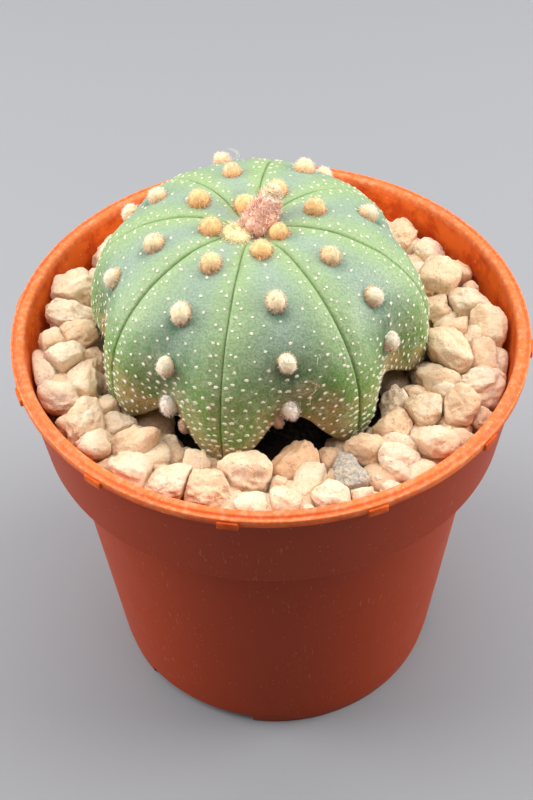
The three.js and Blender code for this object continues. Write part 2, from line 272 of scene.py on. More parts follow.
for k in range(DRAIN_HOLES):
    points, faces = turned([(0, 1), (DRAIN_RADIUS, 1), (DRAIN_RADIUS, 6), (0, 6)], 40)
    a = math.radians(k * 360 / DRAIN_HOLES)
    middle = DRAIN_FROM_AXIS * np.array([math.cos(a), math.sin(a), 0])
    cuts.append(new_mesh(f"hole_{k}", points + middle, faces))
join_or_cut(pot, cuts, "DIFFERENCE")
pot.data.shade_smooth()
pot.data.set_sharp_from_angle(angle=math.radians(32))

# Marks for the wall's outside below the rim, which gets painted shade, and for the rim's own top edge,
# which is rubbed and gets a painted highlight.
RIM_FROM = 74.4
radii = np.array([math.hypot(v.co.x, v.co.y) / MM for v in pot.data.vertices])
heights = np.array([v.co.z / MM for v in pot.data.vertices])
outer_line = np.interp(heights, [0, 56, 56.5, COLLAR_LIP], [30.2, 35.9, 39.4, 41.4])
set_mark(pot, "outside", (radii > outer_line - 0.6) & (heights < COLLAR_LIP - 0.1))
set_mark(pot, "rim", heights > RIM_FROM)

# Polypropylene, moulded: a satin skin, fine dust and upright scratches from stacking, and a rim rubbed
# pale and painted lighter as a highlight. The wall's outside is painted a deeper tone than the inside, as
# shade.
plastic, tree, shader = material("moulded_terracotta_polypropylene", {
    "IOR": 1.49, "Specular IOR Level": 0.1, "Subsurface Weight": 0.25,
    "Subsurface Radius": (1.0, 0.3, 0.1), "Subsurface Scale": 0.0015,
})
place = node(tree, "TexCoord", {}).outputs["Object"]
cloud = node(tree, "TexNoise", {"Vector": place, "Scale": 1000 / 14, "Detail": 3.0}).outputs[0]
mottle = {0: cloud, 6: linear("#DA5C20"), 7: linear("#F0782E")}
body = node(tree, "Mix", mottle, data_type="RGBA").outputs[2]
patches = {"Vector": place, "Scale": 1000 / 5, "Detail": 6.0, "Roughness": 0.7}
stains = node(tree, "TexNoise", patches).outputs[0]
stain = node(tree, "MapRange", {0: stains, 1: 0.45, 2: 0.6, 3: 0.0, 4: 0.75}).outputs[0]
rim_top = node(tree, "Attribute", {}, attribute_name="rim").outputs["Fac"]
below_rim = node(tree, "MapRange", {0: rim_top, 3: 1.0, 4: 0.2}).outputs[0]
stain = node(tree, "Math", {0: stain, 1: below_rim}, operation="MULTIPLY").outputs[0]
body = node(tree, "Mix", {0: stain, 6: body, 7: linear("#B83A12")}, data_type="RGBA").outputs[2]
# Painted shade: the wall's outside is mixed to a deeper orange-brown than the inside.
outside = node(tree, "Attribute", {}, attribute_name="outside").outputs["Fac"]
deep_shade = node(tree, "Mix", {0: outside, 6: body, 7: linear("#A43608")}, data_type="RGBA").outputs[2]
cells = node(tree, "TexVoronoi", {"Vector": place, "Scale": 1000 / 1.1})
chance = node(tree, "SeparateColor", {0: cells.outputs["Color"]}).outputs[0]
near = node(tree, "Math", {0: cells.outputs["Distance"], 1: 0.15}, operation="LESS_THAN").outputs[0]
rare = node(tree, "Math", {0: chance, 1: 0.78}, operation="GREATER_THAN").outputs[0]
dust = node(tree, "Math", {0: near, 1: rare}, operation="MULTIPLY").outputs[0]
dust_part = node(tree, "MapRange", {0: outside, 3: 0.55, 4: 0.2}).outputs[0]
dust = node(tree, "Math", {0: dust, 1: dust_part}, operation="MULTIPLY").outputs[0]
upright_scale = (1000 / 0.4, 1000 / 0.4, 1000 / 5)
upright = node(tree, "Mapping", {"Vector": place, "Scale": upright_scale}).outputs[0]
streaks = node(tree, "TexNoise", {"Vector": upright, "Scale": 1.0, "Detail": 2.0}).outputs[0]
scratch = node(tree, "MapRange", {0: streaks, 1: 0.64, 2: 0.78, 3: 0.0, 4: 0.27}).outputs[0]
patchy = node(tree, "MapRange", {0: cloud, 1: 0.45, 2: 0.6}).outputs[0]
scratch = node(tree, "Math", {0: scratch, 1: patchy}, operation="MULTIPLY").outputs[0]
# Painted highlight and wear: the rim's top edge is lightened in patches, partly as rubbing, partly as a
# highlight.
rubs = node(tree, "TexNoise", {"Vector": place, "Scale": 1000 / 0.9, "Detail": 4.0}).outputs[0]
rim_wear_and_highlight = node(tree, "MapRange", {0: rubs, 1: 0.45, 2: 0.7, 3: 0.1, 4: 0.45}).outputs[0]
rim_wear_and_highlight = node(tree, "Math", {0: rim_wear_and_highlight, 1: rim_top}, operation="MULTIPLY").outputs[0]
pale = node(tree, "Math", {0: scratch, 1: rim_wear_and_highlight}, operation="MAXIMUM").outputs[0]
dust = node(tree, "Math", {0: dust, 1: pale}, operation="MAXIMUM").outputs[0]
# Dust, scratches and the rim's wear with its painted highlight all lighten the colour here.
dusty = node(tree, "Mix", {0: dust, 6: deep_shade, 7: linear("#E8B493")}, data_type="RGBA").outputs[2]
grain = node(tree, "TexNoise", {"Vector": place, "Scale": 1000 / 0.5, "Detail": 2.0}).outputs[0]
bump = node(tree, "Bump", {"Height": grain, "Strength": 0.06, "Distance": 0.0004}).outputs[0]
gloss = node(tree, "MapRange", {0: cloud, 3: 0.38, 4: 0.5}).outputs[0]
tree.links.new(dusty, shader.inputs["Base Color"])
tree.links.new(gloss, shader.inputs["Roughness"])
tree.links.new(bump, shader.inputs["Normal"])
pot.data.materials.clear()
pot.data.materials.append(plastic)
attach(pot, "root")
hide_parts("pot")


# Soil: dark, crumbly potting mix that fills the pot up to its step. Only its top shows, in
# the gaps under the ribs, so it keeps the plug's own shape and gets a rough dark surface.
# Damp peat: almost black-brown, with no shine, in crumbs of about a millimetre and a half.
peat, tree, shader = material("damp_peat_mix", {"Roughness": 0.95})
place = node(tree, "TexCoord", {}).outputs["Object"]
crumbs = node(tree, "TexVoronoi", {"Vector": place, "Scale": 1000 / 1.4}).outputs[0]
browns = {0: crumbs, 6: linear("#2A1D14"), 7: linear("#4A3626")}
tint = node(tree, "Mix", browns, data_type="RGBA").outputs[2]
bump = node(tree, "Bump", {"Height": crumbs, "Strength": 0.9, "Distance": 0.0008}).outputs[0]
tree.links.new(tint, shader.inputs["Base Color"])
tree.links.new(bump, shader.inputs["Normal"])
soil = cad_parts["soil"]
soil.data.materials.clear()
soil.data.materials.append(peat)


# Cactus body: the living plant, a green dome of eight broad ribs with a sharp furrow between
# them. Its tufts stand along the ribs' middles, where the lower edge rises in arches, and it
# stands on its own taproot in the soil.
PLANT_AT = np.array([-2.5, 2.2, 73.9])
PLANT_LEAN = math.radians(3.8)
BODY_RADIUS = 27.4
BODY_RISE = 22.4
BODY_POWER = 2.31
CROWN_SINK = 2.5
LOWER_EDGE = 106.4
EDGE_TILT = 4.4
HALF_RIB = math.radians(22.5)
FURROWS = np.array([-147.0, -102.0, -54.0, -10.0, 37.0, 80.0, 128.0, 170.0])
RIB_EDGES = np.append(FURROWS, FURROWS[0] + 360)
TUFT_FIRST = [11.1, 7.0, 5.0, 10.3, 8.0, 4.4, 9.6, 6.5]
TUFT_STEP = [8.9, 9.4, 9.1, 9.4, 9.1, 8.0, 8.4, 9.1]
TUFTS_ON_RIB = [4, 4, 4, 2, 3, 3, 3, 3]
ROOT_RADIUS = 5.0
ROOT_BOTTOM = -33.0
COLUMNS_IN_RIB = 56
ROWS = 176
LEAN = np.array(Matrix.Rotation(PLANT_LEAN, 3, "X"))


def to_part(points):
    """Points in the plant's own frame, moved to where it leans in the pot."""
    return np.asarray(points) @ LEAN.T + PLANT_AT


def to_plant(points):
    """Points in the pot, in the plant's own frame."""
    return (np.asarray(points) - PLANT_AT) @ LEAN


def ease(k):
    """0 up to 0, 1 from 1 on, and a smooth rise between them."""
    c = np.clip(k, 0, 1)
    return c * c * (3 - 2 * c)


def unit(ways):
    """Directions scaled to length 1."""
    return ways / np.maximum(1e-9, np.linalg.norm(ways, axis=-1, keepdims=True))


def noise_at(points, scale, offset=Vector((0, 0, 0))):
    """One smooth chance value for each point, between about -1 and 1."""
    return np.array([noise.noise(Vector(p) * scale + offset) for p in points.tolist()])


def signed(azimuth):
    """An azimuth between -180 and 180 degrees."""
    return (azimuth + 180) % 360 - 180


def rib_place(azimuth):
    """0 on a furrow and 1 half way to the next, where the tufts stand."""
    a = (azimuth - FURROWS[0]) % 360 + FURROWS[0]
    k = np.clip(np.searchsorted(RIB_EDGES, a, side="right") - 1, 0, len(FURROWS) - 1)
    middle = (RIB_EDGES[k] + RIB_EDGES[k + 1]) / 2
    return 1 - np.abs(a - middle) / (middle - RIB_EDGES[k])


def fuller(azimuth):
    """How much of its extra fullness the lobe on the right has at an azimuth."""
    return np.exp(-(((azimuth + 10) / 22) ** 2))


def arch_rise(azimuth):
    """How far the arches at the lower edge rise, in degrees of the dome: tallest in front."""
    return 13.2 + 3.4 * np.exp(-(((azimuth + 78) / 28) ** 2))


def skin(azimuth, s, fine=True):
    """Points on the skin in the plant's frame: s is 0 at the crown and 1 at the lower edge.

    The fine skin has a narrow crease with a raised lip. The plain one is what the tufts, the
    flecks and the stones are set against.
    """
    azimuth, s = np.broadcast_arrays(np.asarray(azimuth, float), np.asarray(s, float))
    turn = np.radians(azimuth)
    place = rib_place(azimuth)
    arch = arch_rise(signed(azimuth)) * np.sin(place * math.pi / 2) ** 1.5
    lowest = LOWER_EDGE + EDGE_TILT * np.sin(turn) - arch
    angle = np.radians(90 - s * lowest)
    power = 2 / BODY_POWER
    r = BODY_RADIUS * (1 + 0.05 * fuller(azimuth)) * np.abs(np.cos(angle)) ** power
    z = BODY_RISE * np.sign(np.sin(angle)) * np.abs(np.sin(angle)) ** power
    low = ease((20 - z) / 20)
    shoulder = np.maximum(0, 1 - place / 0.36) ** 2
    off = r * place * HALF_RIB
    depth, width = (0.45, 0.13) if fine else (0.4, 0.5)
    crease = depth * np.exp(-((off / width) ** 2)) * (0.45 + 0.35 * low if fine else 1 - 0.7 * low)
    if fine:
        crease -= 0.06 * np.exp(-(((off - 0.5) / 0.3) ** 2)) * (1 - 0.6 * low)
    valley = (3.5 if fine else 3) * low * ease((place - 0.1) / 0.9)
    rounding, fade = (0.42, 12) if fine else (0.55, 6)
    furrow = rounding * shoulder * (1 - 0.4 * low) + crease
    inset = furrow * np.minimum(1, r / fade) + valley
    r = np.maximum(0, r - inset * np.cos(angle))
    z = z - inset * np.maximum(0, np.sin(angle)) - CROWN_SINK * np.exp(-((r / 7) ** 2))
    return np.stack([r * np.cos(turn), r * np.sin(turn), z], -1)


def skin_frame(azimuth, s):
    """A point on the skin, and the directions down along it, sideways and straight out."""
    down = unit(skin(azimuth, s + 0.01, False) - skin(azimuth, s - 0.01, False))
    turn = np.radians(azimuth)
    side = np.stack([-np.sin(turn), np.cos(turn), np.zeros_like(turn)], -1)
    return skin(azimuth, s, False), down, side, unit(np.cross(down, side))


def line_down(azimuth, s):
    """Points down the skin at one azimuth, and how far each is from the crown along the skin."""
    line = skin(np.full_like(s, azimuth), s, False)
    steps = np.linalg.norm(np.diff(line, axis=0), axis=1)
    return line, np.concatenate([[0], np.cumsum(steps)])


def along_rib(azimuth, far):
    """How far down, as s, a point lies that is this many millimetres from the crown."""
    s = np.arange(0, 1.0001, 0.005)
    gone = line_down(azimuth, s)[1]
    return float(np.interp(far, gone, s)) if far < gone[-1] else 1.0


tuft_spots = []
for k, middle in enumerate((RIB_EDGES[:-1] + RIB_EDGES[1:]) / 2):
    for n in range(TUFTS_ON_RIB[k]):
        tuft_spots.append((middle, along_rib(middle, TUFT_FIRST[k] + n * TUFT_STEP[k])))
tuft_spots = np.array(tuft_spots)


UNDERSIDE = 1.05
ROOT = 1.3
# Rings that turn in under the lower edge: part of its radius, how far towards the root's top,
# and drop. Then the taproot's rings: height and part of its radius.
ROLLED_IN = [(0.985, 0, 0.45), (0.95, 0, 0.8), (0.84, 0, 1.1), (0.62, 0.35, 0.9), (0.4, 0.7, 1.2)]
ROOT_TOP = -8.0
ROOT_RINGS = [(-9.3, 1), (2 + ROOT_BOTTOM, 1), (ROOT_BOTTOM, 0.84)]


def body_rings():
    """Azimuths, closer together at the furrows, and every ring's points and places down the body."""
    u = np.arange(COLUMNS_IN_RIB) / COLUMNS_IN_RIB
    part = 0.3 * u + 0.7 * (0.5 - 0.5 * np.cos(math.pi * u))
    azimuths = np.concatenate([blend(a, b, part) for a, b in zip(RIB_EDGES, RIB_EDGES[1:])])
    places = list(np.linspace(0, 1, ROWS + 1)[1:])
    rings = [skin(azimuths, s) for s in places]
    lip = rings[-1]
    for part_in, level, drop in ROLLED_IN:
        inner = lip * (part_in, part_in, 1)
        inner[:, 2] = blend(lip[:, 2] - drop, ROOT_TOP, level)
        rings.append(inner)
        places.append(UNDERSIDE)
    turn = np.radians(azimuths)
    for z, part_in in ROOT_RINGS:
        r = ROOT_RADIUS * part_in
        rings.append(np.stack([r * np.cos(turn), r * np.sin(turn), np.full_like(turn, z)], -1))
        places.append(ROOT)
    return azimuths, np.vstack(rings), np.repeat(places, len(azimuths))


azimuths, flat, downs = body_rings()
ring_count = len(flat) // len(azimuths)
ring_azimuths = np.tile(azimuths, ring_count)

# Soft swellings and dimples of living tissue, and a small hollow below each tuft, which is also painted
# darker as shade. Below the older tufts the skin gets a painted shadow of deeper green, and a row of
# corky scabs lies low on the front rib.
tuft_at, tuft_down, _, tuft_out = skin_frame(tuft_spots[:, 0], tuft_spots[:, 1])
below = tuft_at + 2.1 * tuft_down
gap = np.linalg.norm(flat[:, None, :] - below[None, :, :], axis=2)
grown = blend(0.35, 1, ease((tuft_spots[:, 1] - 0.2) / 0.25))
hollow = (np.exp(-((gap / 1.7) ** 2)) * grown).max(axis=1)
# The mask of the painted shadow that falls below each older tuft.
tuft_side = np.cross(tuft_out, tuft_down)
away = flat[:, None, :] - tuft_at[None, :, :]
beside = (away * tuft_side).sum(axis=2) / 1.5
beyond = ((away * tuft_down).sum(axis=2) - 1.2) / 3.0
above = (away * tuft_out).sum(axis=2) / 3.0
older = ease((tuft_spots[:, 1] - 0.3) / 0.2) * (1 - ease((tuft_spots[:, 1] - 0.7) / 0.2))
tuft_shadow = (np.exp(-(beside**2) - beyond**2 - above**2) * older).max(axis=1)
scab_line = skin(np.linspace(-71, -62, 9), np.linspace(0.75, 0.8, 9))
scab_gap = np.linalg.norm(flat[:, None, :] - scab_line[None, :, :], axis=2)
scab = np.exp(-((scab_gap / 0.6) ** 2)).max(axis=1)
relief = 0.16 * noise_at(flat, 1 / 4.5) + 0.04 * noise_at(flat, 1 / 1.3) - 0.45 * hollow
relief *= (downs <= 1) * np.minimum(1, np.hypot(flat[:, 0], flat[:, 1]) / 5)
flat = flat + unit(flat * (1, 1, 1.2)) * relief[:, None]


def flipped(faces):
    """Faces that look the other way."""
    return [(face[0], *reversed(face[1:])) for face in faces]


points = np.vstack([skin(0.0, 0.0)[None, :], flat, [[0, 0, ROOT_BOTTOM]]])
faces = flipped(ring_faces(ring_count, len(azimuths)))
cactus = new_mesh("cactus_body", to_part(points), faces)
rib_at = rib_place(ring_azimuths)
cork_at = downs - 0.1 * fuller(signed(ring_azimuths))
off_at = np.hypot(flat[:, 0], flat[:, 1]) * rib_at * HALF_RIB
for name, values, last in [
    ("rib", rib_at, 0), ("off", off_at, 0), ("down", downs, ROOT), ("cork", cork_at, ROOT),
    ("hollow", hollow, 0), ("deep_shade", tuft_shadow, 0), ("scab", scab, 0),
]:
    set_mark(cactus, name, np.concatenate([[0], values, [last]]))

# Living epidermis with a thin bloom of wax: pale yellow-green beside the creases, blue-grey along the
# tufts, deeper green lower down and corky olive-brown at the foot. Painted shade darkens the creases, the
# hollows and the skin below the tufts.
tissue, tree, shader = material("waxy_cactus_skin", {
    "Roughness": 0.5, "IOR": 1.45, "Subsurface Weight": 0.12,
    "Subsurface Radius": (0.6, 1.0, 0.4), "Subsurface Scale": 0.001,
})
place = node(tree, "TexCoord", {}).outputs["Object"]
rib, down, cork, dent, deep_shade, scab, off = (
    node(tree, "Attribute", {}, attribute_name=name).outputs["Fac"]
    for name in ("rib", "down", "cork", "hollow", "deep_shade", "scab", "off")
)
cloud = node(tree, "TexNoise", {"Vector": place, "Scale": 1000 / 7, "Detail": 4.0}).outputs[0]
wander = node(tree, "MapRange", {0: cloud, 1: 0.3, 2: 0.7, 3: -0.12, 4: 0.12}).outputs[0]
rib_soft, down_soft, cork_soft = (
    node(tree, "Math", {0: sharp, 1: wander}, operation="ADD").outputs[0] for sharp in (rib, down, cork)
)
upper = node(tree, "ValToRGB", {0: rib_soft})
lower = node(tree, "ValToRGB", {0: rib_soft})


def ramp(made, stops):
    """Sets the stops of a colour ramp, each a position and a hex colour."""
    colours = made.color_ramp.elements
    while len(colours) > 1:
        colours.remove(colours[-1])
    colours[0].position = stops[0][0]
    colours[0].color = linear(stops[0][1])
    for position, colour in stops[1:]:
        colours.new(position).color = linear(colour)


ramp(upper, [(0.0, "#98B07A"), (0.3, "#95AC7E"), (0.6, "#90A687"), (1.0, "#8FA28E")])
ramp(lower, [(0.0, "#6F9A4B"), (0.35, "#6D984E"), (0.7, "#648A54"), (1.0, "#5F7E5E")])
soft = "SMOOTHSTEP"
fall = node(tree, "MapRange", {0: down_soft, 1: 0.5, 2: 0.85}, interpolation_type=soft).outputs[0]
greens = {0: fall, 6: upper.outputs[0], 7: lower.outputs[0]}
green = node(tree, "Mix", greens, data_type="RGBA").outputs[2]
foot = node(tree, "MapRange", {0: cork_soft, 1: 0.8, 2: 0.98}, interpolation_type=soft).outputs[0]
corky = node(tree, "Mix", {0: foot, 6: green, 7: linear("#AE9C66")}, data_type="RGBA").outputs[2]
# Painted shade: the hollow below each tuft is mixed to a dark green.
shade = node(tree, "MapRange", {0: dent, 1: 0.15, 2: 0.9, 3: 0.0, 4: 0.8}).outputs[0]
hollow_shaded = node(tree, "Mix", {0: shade, 6: corky, 7: linear("#4A6C50")}, data_type="RGBA").outputs[2]
# Painted shadow: the skin below the older tufts is mixed to a deeper green.
tuft_shadow_part = node(tree, "MapRange", {0: deep_shade, 1: 0.1, 2: 0.9, 3: 0.0, 4: 0.55}).outputs[0]
tuft_shadowed = node(tree, "Mix", {0: tuft_shadow_part, 6: hollow_shaded, 7: linear("#557C50")}, data_type="RGBA").outputs[2]
# Painted shade: a dark green line along each furrow's crease.
line = node(tree, "MapRange", {0: off, 1: 0.0, 2: 0.14, 3: 0.7, 4: 0.0}).outputs[0]
broken = node(tree, "MapRange", {0: cloud, 1: 0.35, 2: 0.6, 3: 0.45, 4: 1.0}).outputs[0]
line = node(tree, "Math", {0: line, 1: broken}, operation="MULTIPLY").outputs[0]
crease_shaded = node(tree, "Mix", {0: line, 6: tuft_shadowed, 7: linear("#2F5426")}, data_type="RGBA").outputs[2]
fine_hair = {"Vector": place, "Scale": 1000 / 1.6, "Detail": 6.0, "Roughness": 0.75}
fuzz = node(tree, "TexNoise", fine_hair).outputs[0]
fuzz_part = node(tree, "MapRange", {0: fuzz, 1: 0.5, 2: 0.66, 3: 0.0, 4: 0.6}).outputs[0]
fuzz_low = node(tree, "MapRange", {0: down, 1: 0.45, 2: 0.8}).outputs[0]
fuzzy = node(tree, "Math", {0: fuzz_part, 1: fuzz_low}, operation="MULTIPLY").outputs[0]
hazy = node(tree, "Mix", {0: fuzzy, 6: crease_shaded, 7: linear("#B9BFA4")}, data_type="RGBA").outputs[2]
scab_part = node(tree, "Math", {0: scab, 1: fuzz}, operation="MULTIPLY").outputs[0]
scab_part = node(tree, "MapRange", {0: scab_part, 1: 0.36, 2: 0.54, 3: 0.0, 4: 0.9}).outputs[0]
scabby = node(tree, "Mix", {0: scab_part, 6: hazy, 7: linear("#D6C29A")}, data_type="RGBA").outputs[2]
pores = node(tree, "TexNoise", {"Vector": place, "Scale": 1000 / 0.35, "Detail": 2.0}).outputs[0]
pore = node(tree, "MapRange", {0: pores, 1: 0.35, 2: 0.65, 3: 0.72, 4: 1.2}).outputs[0]
pore_part = node(tree, "MapRange", {0: down, 1: 0.25, 2: 0.75, 3: 0.45, 4: 1.0}).outputs[0]
pricked = {0: pore_part, 6: scabby, 7: pore}
speckled = node(tree, "Mix", pricked, data_type="RGBA", blend_type="MULTIPLY").outputs[2]
bump = node(tree, "Bump", {"Height": pores, "Strength": 0.4, "Distance": 0.0002}).outputs[0]
tree.links.new(speckled, shader.inputs["Base Color"])
tree.links.new(bump, shader.inputs["Normal"])
cactus.data.materials.append(tissue)
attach(cactus, "root")
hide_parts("cactus")


# Gravel: a loose top dressing of light baked-clay granules, tumbled to soft-edged lumps that are
# 3.5 to 11 mm long. The larger ones lie as they were set out, and others fill the gaps.
BED_MIDDLE = 64.0
BED_AT_WALL = 68.4
FIT = 0.3
STONE_GAP = 0.12
GROWN = 1.06
STONE_FLATS = 9
STONE_EDGE = 4.2
STONES_WITHIN = 39.3
FILL_FROM = 20.0
FILL_TO = 37.5
# The larger stones: place, half length, half width and the turn of the length in degrees.
LARGE_STONES = [
    (-4.2, -28.6, 4.9, 4.2, 10), (2.8, -26.4, 5.6, 3.2, 52), (7.8, -23.0, 2.4, 2.3, 0),
    (11.4, -29.8, 4.6, 2.6, 98), (14.2, -24.0, 3.4, 3.1, 20), (5.4, -31.2, 4.4, 2.3, 62),
    (8.4, -34.2, 3.4, 2.7, 10), (-3.6, -35.2, 3.0, 2.4, 0), (-10.2, -32.2, 4.2, 3.4, 160),
    (-16.0, -30.2, 3.9, 2.9, 150), (-21.8, -28.0, 4.0, 3.0, 140), (19.6, -27.6, 4.0, 2.9, 12),
    (25.2, -23.6, 3.9, 3.0, 8), (19.2, -19.6, 3.8, 2.9, 70), (24.4, -16.8, 3.7, 3.0, 35),
    (29.6, -17.4, 3.2, 3.1, 0), (33.6, -18.6, 2.3, 1.8, 80), (29.8, -23.2, 2.4, 1.9, 0),
    (20.0, -13.4, 3.5, 3.0, 90), (24.0, -11.8, 3.0, 2.1, 170), (34.4, -11.6, 4.1, 3.4, 35),
    (25.8, -8.4, 2.8, 2.6, 0), (34.6, -4.8, 3.7, 2.6, 95), (29.8, -4.6, 5.3, 3.4, 107),
    (36.6, 0.6, 5.0, 3.3, 95), (30.8, 1.6, 3.5, 2.2, 10), (29.2, 6.0, 2.3, 1.9, 0),
    (34.0, 7.4, 3.4, 3.1, 110), (29.0, 12.6, 3.9, 3.6, 40), (32.6, 16.6, 3.2, 2.2, 90),
    (29.8, 22.6, 3.3, 2.3, 0), (26.4, 28.4, 3.6, 3.2, 70), (-11.3, -23.6, 2.9, 2.3, 100),
    (-15.8, -21.0, 3.8, 2.5, 110), (-22.0, -21.6, 4.6, 4.0, 25), (-27.8, -23.2, 2.9, 2.6, 0),
    (-24.6, -17.4, 3.6, 2.2, 170), (-29.2, -19.2, 4.0, 3.2, 80), (-33.0, -17.8, 2.2, 1.9, 0),
    (-33.8, -12.8, 4.2, 2.5, 140), (-27.2, -13.4, 2.5, 2.2, 30), (-30.6, -8.4, 4.9, 3.3, 75),
    (-37.0, -7.0, 2.9, 1.8, 95), (-34.2, -4.4, 3.3, 3.0, 40), (-30.2, -1.2, 2.9, 2.7, 0),
    (-36.6, 0.6, 3.4, 2.5, 90), (-31.8, 2.2, 3.8, 3.2, 20), (-34.8, 7.2, 4.2, 3.0, 165),
    (-34.0, 13.8, 4.0, 3.6, 20),
]
# The smaller ones: how often one is dropped, and the smallest and largest half width.
FILLERS = [(3000, 3.2, 4.2), (5000, 2.4, 3.1), (9000, 1.5, 2.1)]
FRONT_TONES = [0.75, 0.05, 0.35, 0.5, 0.3, 0.8, 0.95, 0.95, 0.5, 0.9, 0.85]
GREY_STONE = 3
BROWN_STONE = 1


def sequence(start):
    """A repeatable run of numbers between 0 and 1."""
    state = start
    while True:
        state = state * 16807 % 2147483647
        yield state / 2147483647


def from_plant(x, y):
    """The distance from the plant's axis."""
    return np.hypot(x - PLANT_AT[0], y - PLANT_AT[1])


def plant_reach(azimuth):
    """How far out from its own axis the plant keeps the upper stones."""
    return blend(26.3 + 1.4 * fuller(azimuth), 23.5, ease((rib_place(azimuth) - 0.5) / 0.4))


def crowding(x, y, long, wide, turn):
    """How far a stone has to move to lie clear of the plant, and which way."""
    out = math.atan2(y - PLANT_AT[1], x - PLANT_AT[0])
    a = math.radians(turn) - out
    half = 1.15 * math.hypot(long * math.cos(a), wide * math.sin(a))
    return float(plant_reach(math.degrees(out)) + half + FIT - from_plant(x, y)), out


def settle(x, y, long, wide, turn):
    """A stone, moved out from the plant and then in from the pot's wall where it would touch."""
    push, out = crowding(x, y, long, wide, turn)
    if push > 0:
        x += push * math.cos(out)
        y += push * math.sin(out)
    a = math.radians(turn) - math.atan2(y, x)
    half = 1.12 * math.hypot(long * math.cos(a), wide * math.sin(a))
    k = min(1, (STONES_WITHIN - half) / math.hypot(x, y))
    return x * k, y * k, long, wide, turn


def lay_stones():
    """The larger stones as listed, then smaller ones dropped wherever there is room."""
    run = sequence(4111)
    stones = [settle(*stone) for stone in LARGE_STONES]
    for tries, small, large in FILLERS:
        for _ in range(tries):
            azimuth = (next(run) * 2 - 1) * math.pi
            far = math.sqrt(blend(FILL_FROM**2, FILL_TO**2, next(run)))
            size = blend(small, large, next(run))
            stretch = 1 + 0.3 * next(run)
            turn = next(run) * 180
            x, y = far * math.cos(azimuth), far * math.sin(azimuth)
            out = math.degrees(math.atan2(y - PLANT_AT[1], x - PLANT_AT[0]))
            if far + size > STONES_WITHIN - FIT or from_plant(x, y) < plant_reach(out) + size:
                continue
            stone = settle(x, y, size * stretch, size, turn)
            if crowding(*stone)[0] >= 0.1:
                continue
            room = [math.hypot(o[0] - stone[0], o[1] - stone[1]) - 0.4 * sum(o[2:4]) for o in stones]
            if min(room) >= 0.4 * sum(stone[2:4]):
                stones.append(stone)
    return stones


def bed_level(x, y):
    """The level of the gravel under its top stones: low under the plant, banked up to the wall."""
    return blend(BED_MIDDLE, BED_AT_WALL, ease((from_plant(x, y) - 24.5) / 9))


def ball(level):
    """Unit directions and triangles of an evenly divided ball."""
    mesh = bmesh.new()
    bmesh.ops.create_icosphere(mesh, subdivisions=level, radius=1)
    ways = np.array([v.co for v in mesh.verts])
    triangles = np.array([[v.index for v in f.verts] for f in mesh.faces])
    mesh.free()
    return unit(ways), triangles


def lump(ways, draw):
    """How far a soft-edged block reaches in each direction: flats at chance angles, worn round."""
    flats = unit(np.array([draw.gauss(0, 1) for _ in range(3 * STONE_FLATS)]).reshape(-1, 3))
    heights = np.array([draw.uniform(0.72, 1.06) for _ in flats])
    lean = np.hstack([np.maximum(0, ways @ flats.T) / heights, np.full((len(ways), 1), 0.84)])
    reach = 1.13 * (lean**STONE_EDGE).sum(axis=1) ** (-1 / STONE_EDGE)
    offset = Vector([draw.uniform(-50, 50) for _ in range(3)])
    for scale, height in [(1.5, 0.2), (3.6, 0.12), (8.5, 0.035), (19, 0.015)]:
        reach += height * noise_at(ways, scale, offset)
    return reach


def hold_back(far, limit):
    """Distances that ease off as they come up to a limit."""
    soft = 0.7
    over = far - (limit - soft)
    return np.where(over > 0, limit - soft * np.exp(-np.maximum(over, 0) / soft), far)


# The plant's outline at every azimuth and height, which the stones lie clear of.
OUTLINE_STEP = 2.0
OUTLINE_LOW = -10.0
OUTLINE_RISE = 0.25
outline_heights = np.arange(OUTLINE_LOW, 8.0, OUTLINE_RISE)
outline_reach = []
for azimuth in np.arange(0, 360, OUTLINE_STEP):
    line = skin(azimuth, np.linspace(0.4, 1, 90), False)
    r, z = np.hypot(line[:, 0], line[:, 1])[::-1], line[::-1, 2]
    outline_reach.append(np.where(outline_heights < z[0], 0, np.interp(outline_heights, z, r)))
outline_reach = np.array(outline_reach)


def clear_of_plant(points):
    """Points of stones, moved out from the plant's axis where they would be inside it."""
    local = to_plant(points)
    r = np.hypot(local[:, 0], local[:, 1])
    azimuth = np.degrees(np.arctan2(local[:, 1], local[:, 0])) % 360
    a = np.round(azimuth / OUTLINE_STEP).astype(int) % len(outline_reach)
    h = np.round((local[:, 2] - OUTLINE_LOW) / OUTLINE_RISE).astype(int)
    h = np.clip(h, 0, len(outline_heights) - 1)
    wanted = outline_reach[a, h] + 0.15
    k = np.where((wanted > 1) & (r < wanted), wanted / np.maximum(r, 1e-6), 1.0)
    local[:, :2] *= k[:, None]
    return to_part(local)


def inner_wall(z):
    """The radius of the collar's inside at a height."""
    part = (z - COLLAR_FLOOR) / (COLLAR_LIP - COLLAR_FLOOR)
    return blend(COLLAR_INSIDE_LOW, COLLAR_INSIDE_HIGH, part)


def reach_along(size, turn, u):
    """How far an ellipsoid with these half sizes, turned about Z, reaches along u."""
    a = math.radians(turn)
    along = u[0] * math.cos(a) + u[1] * math.sin(a)
    across = u[1] * math.cos(a) - u[0] * math.sin(a)
    return math.sqrt((size[0] * along) ** 2 + (size[1] * across) ** 2 + (size[2] * u[2]) ** 2)


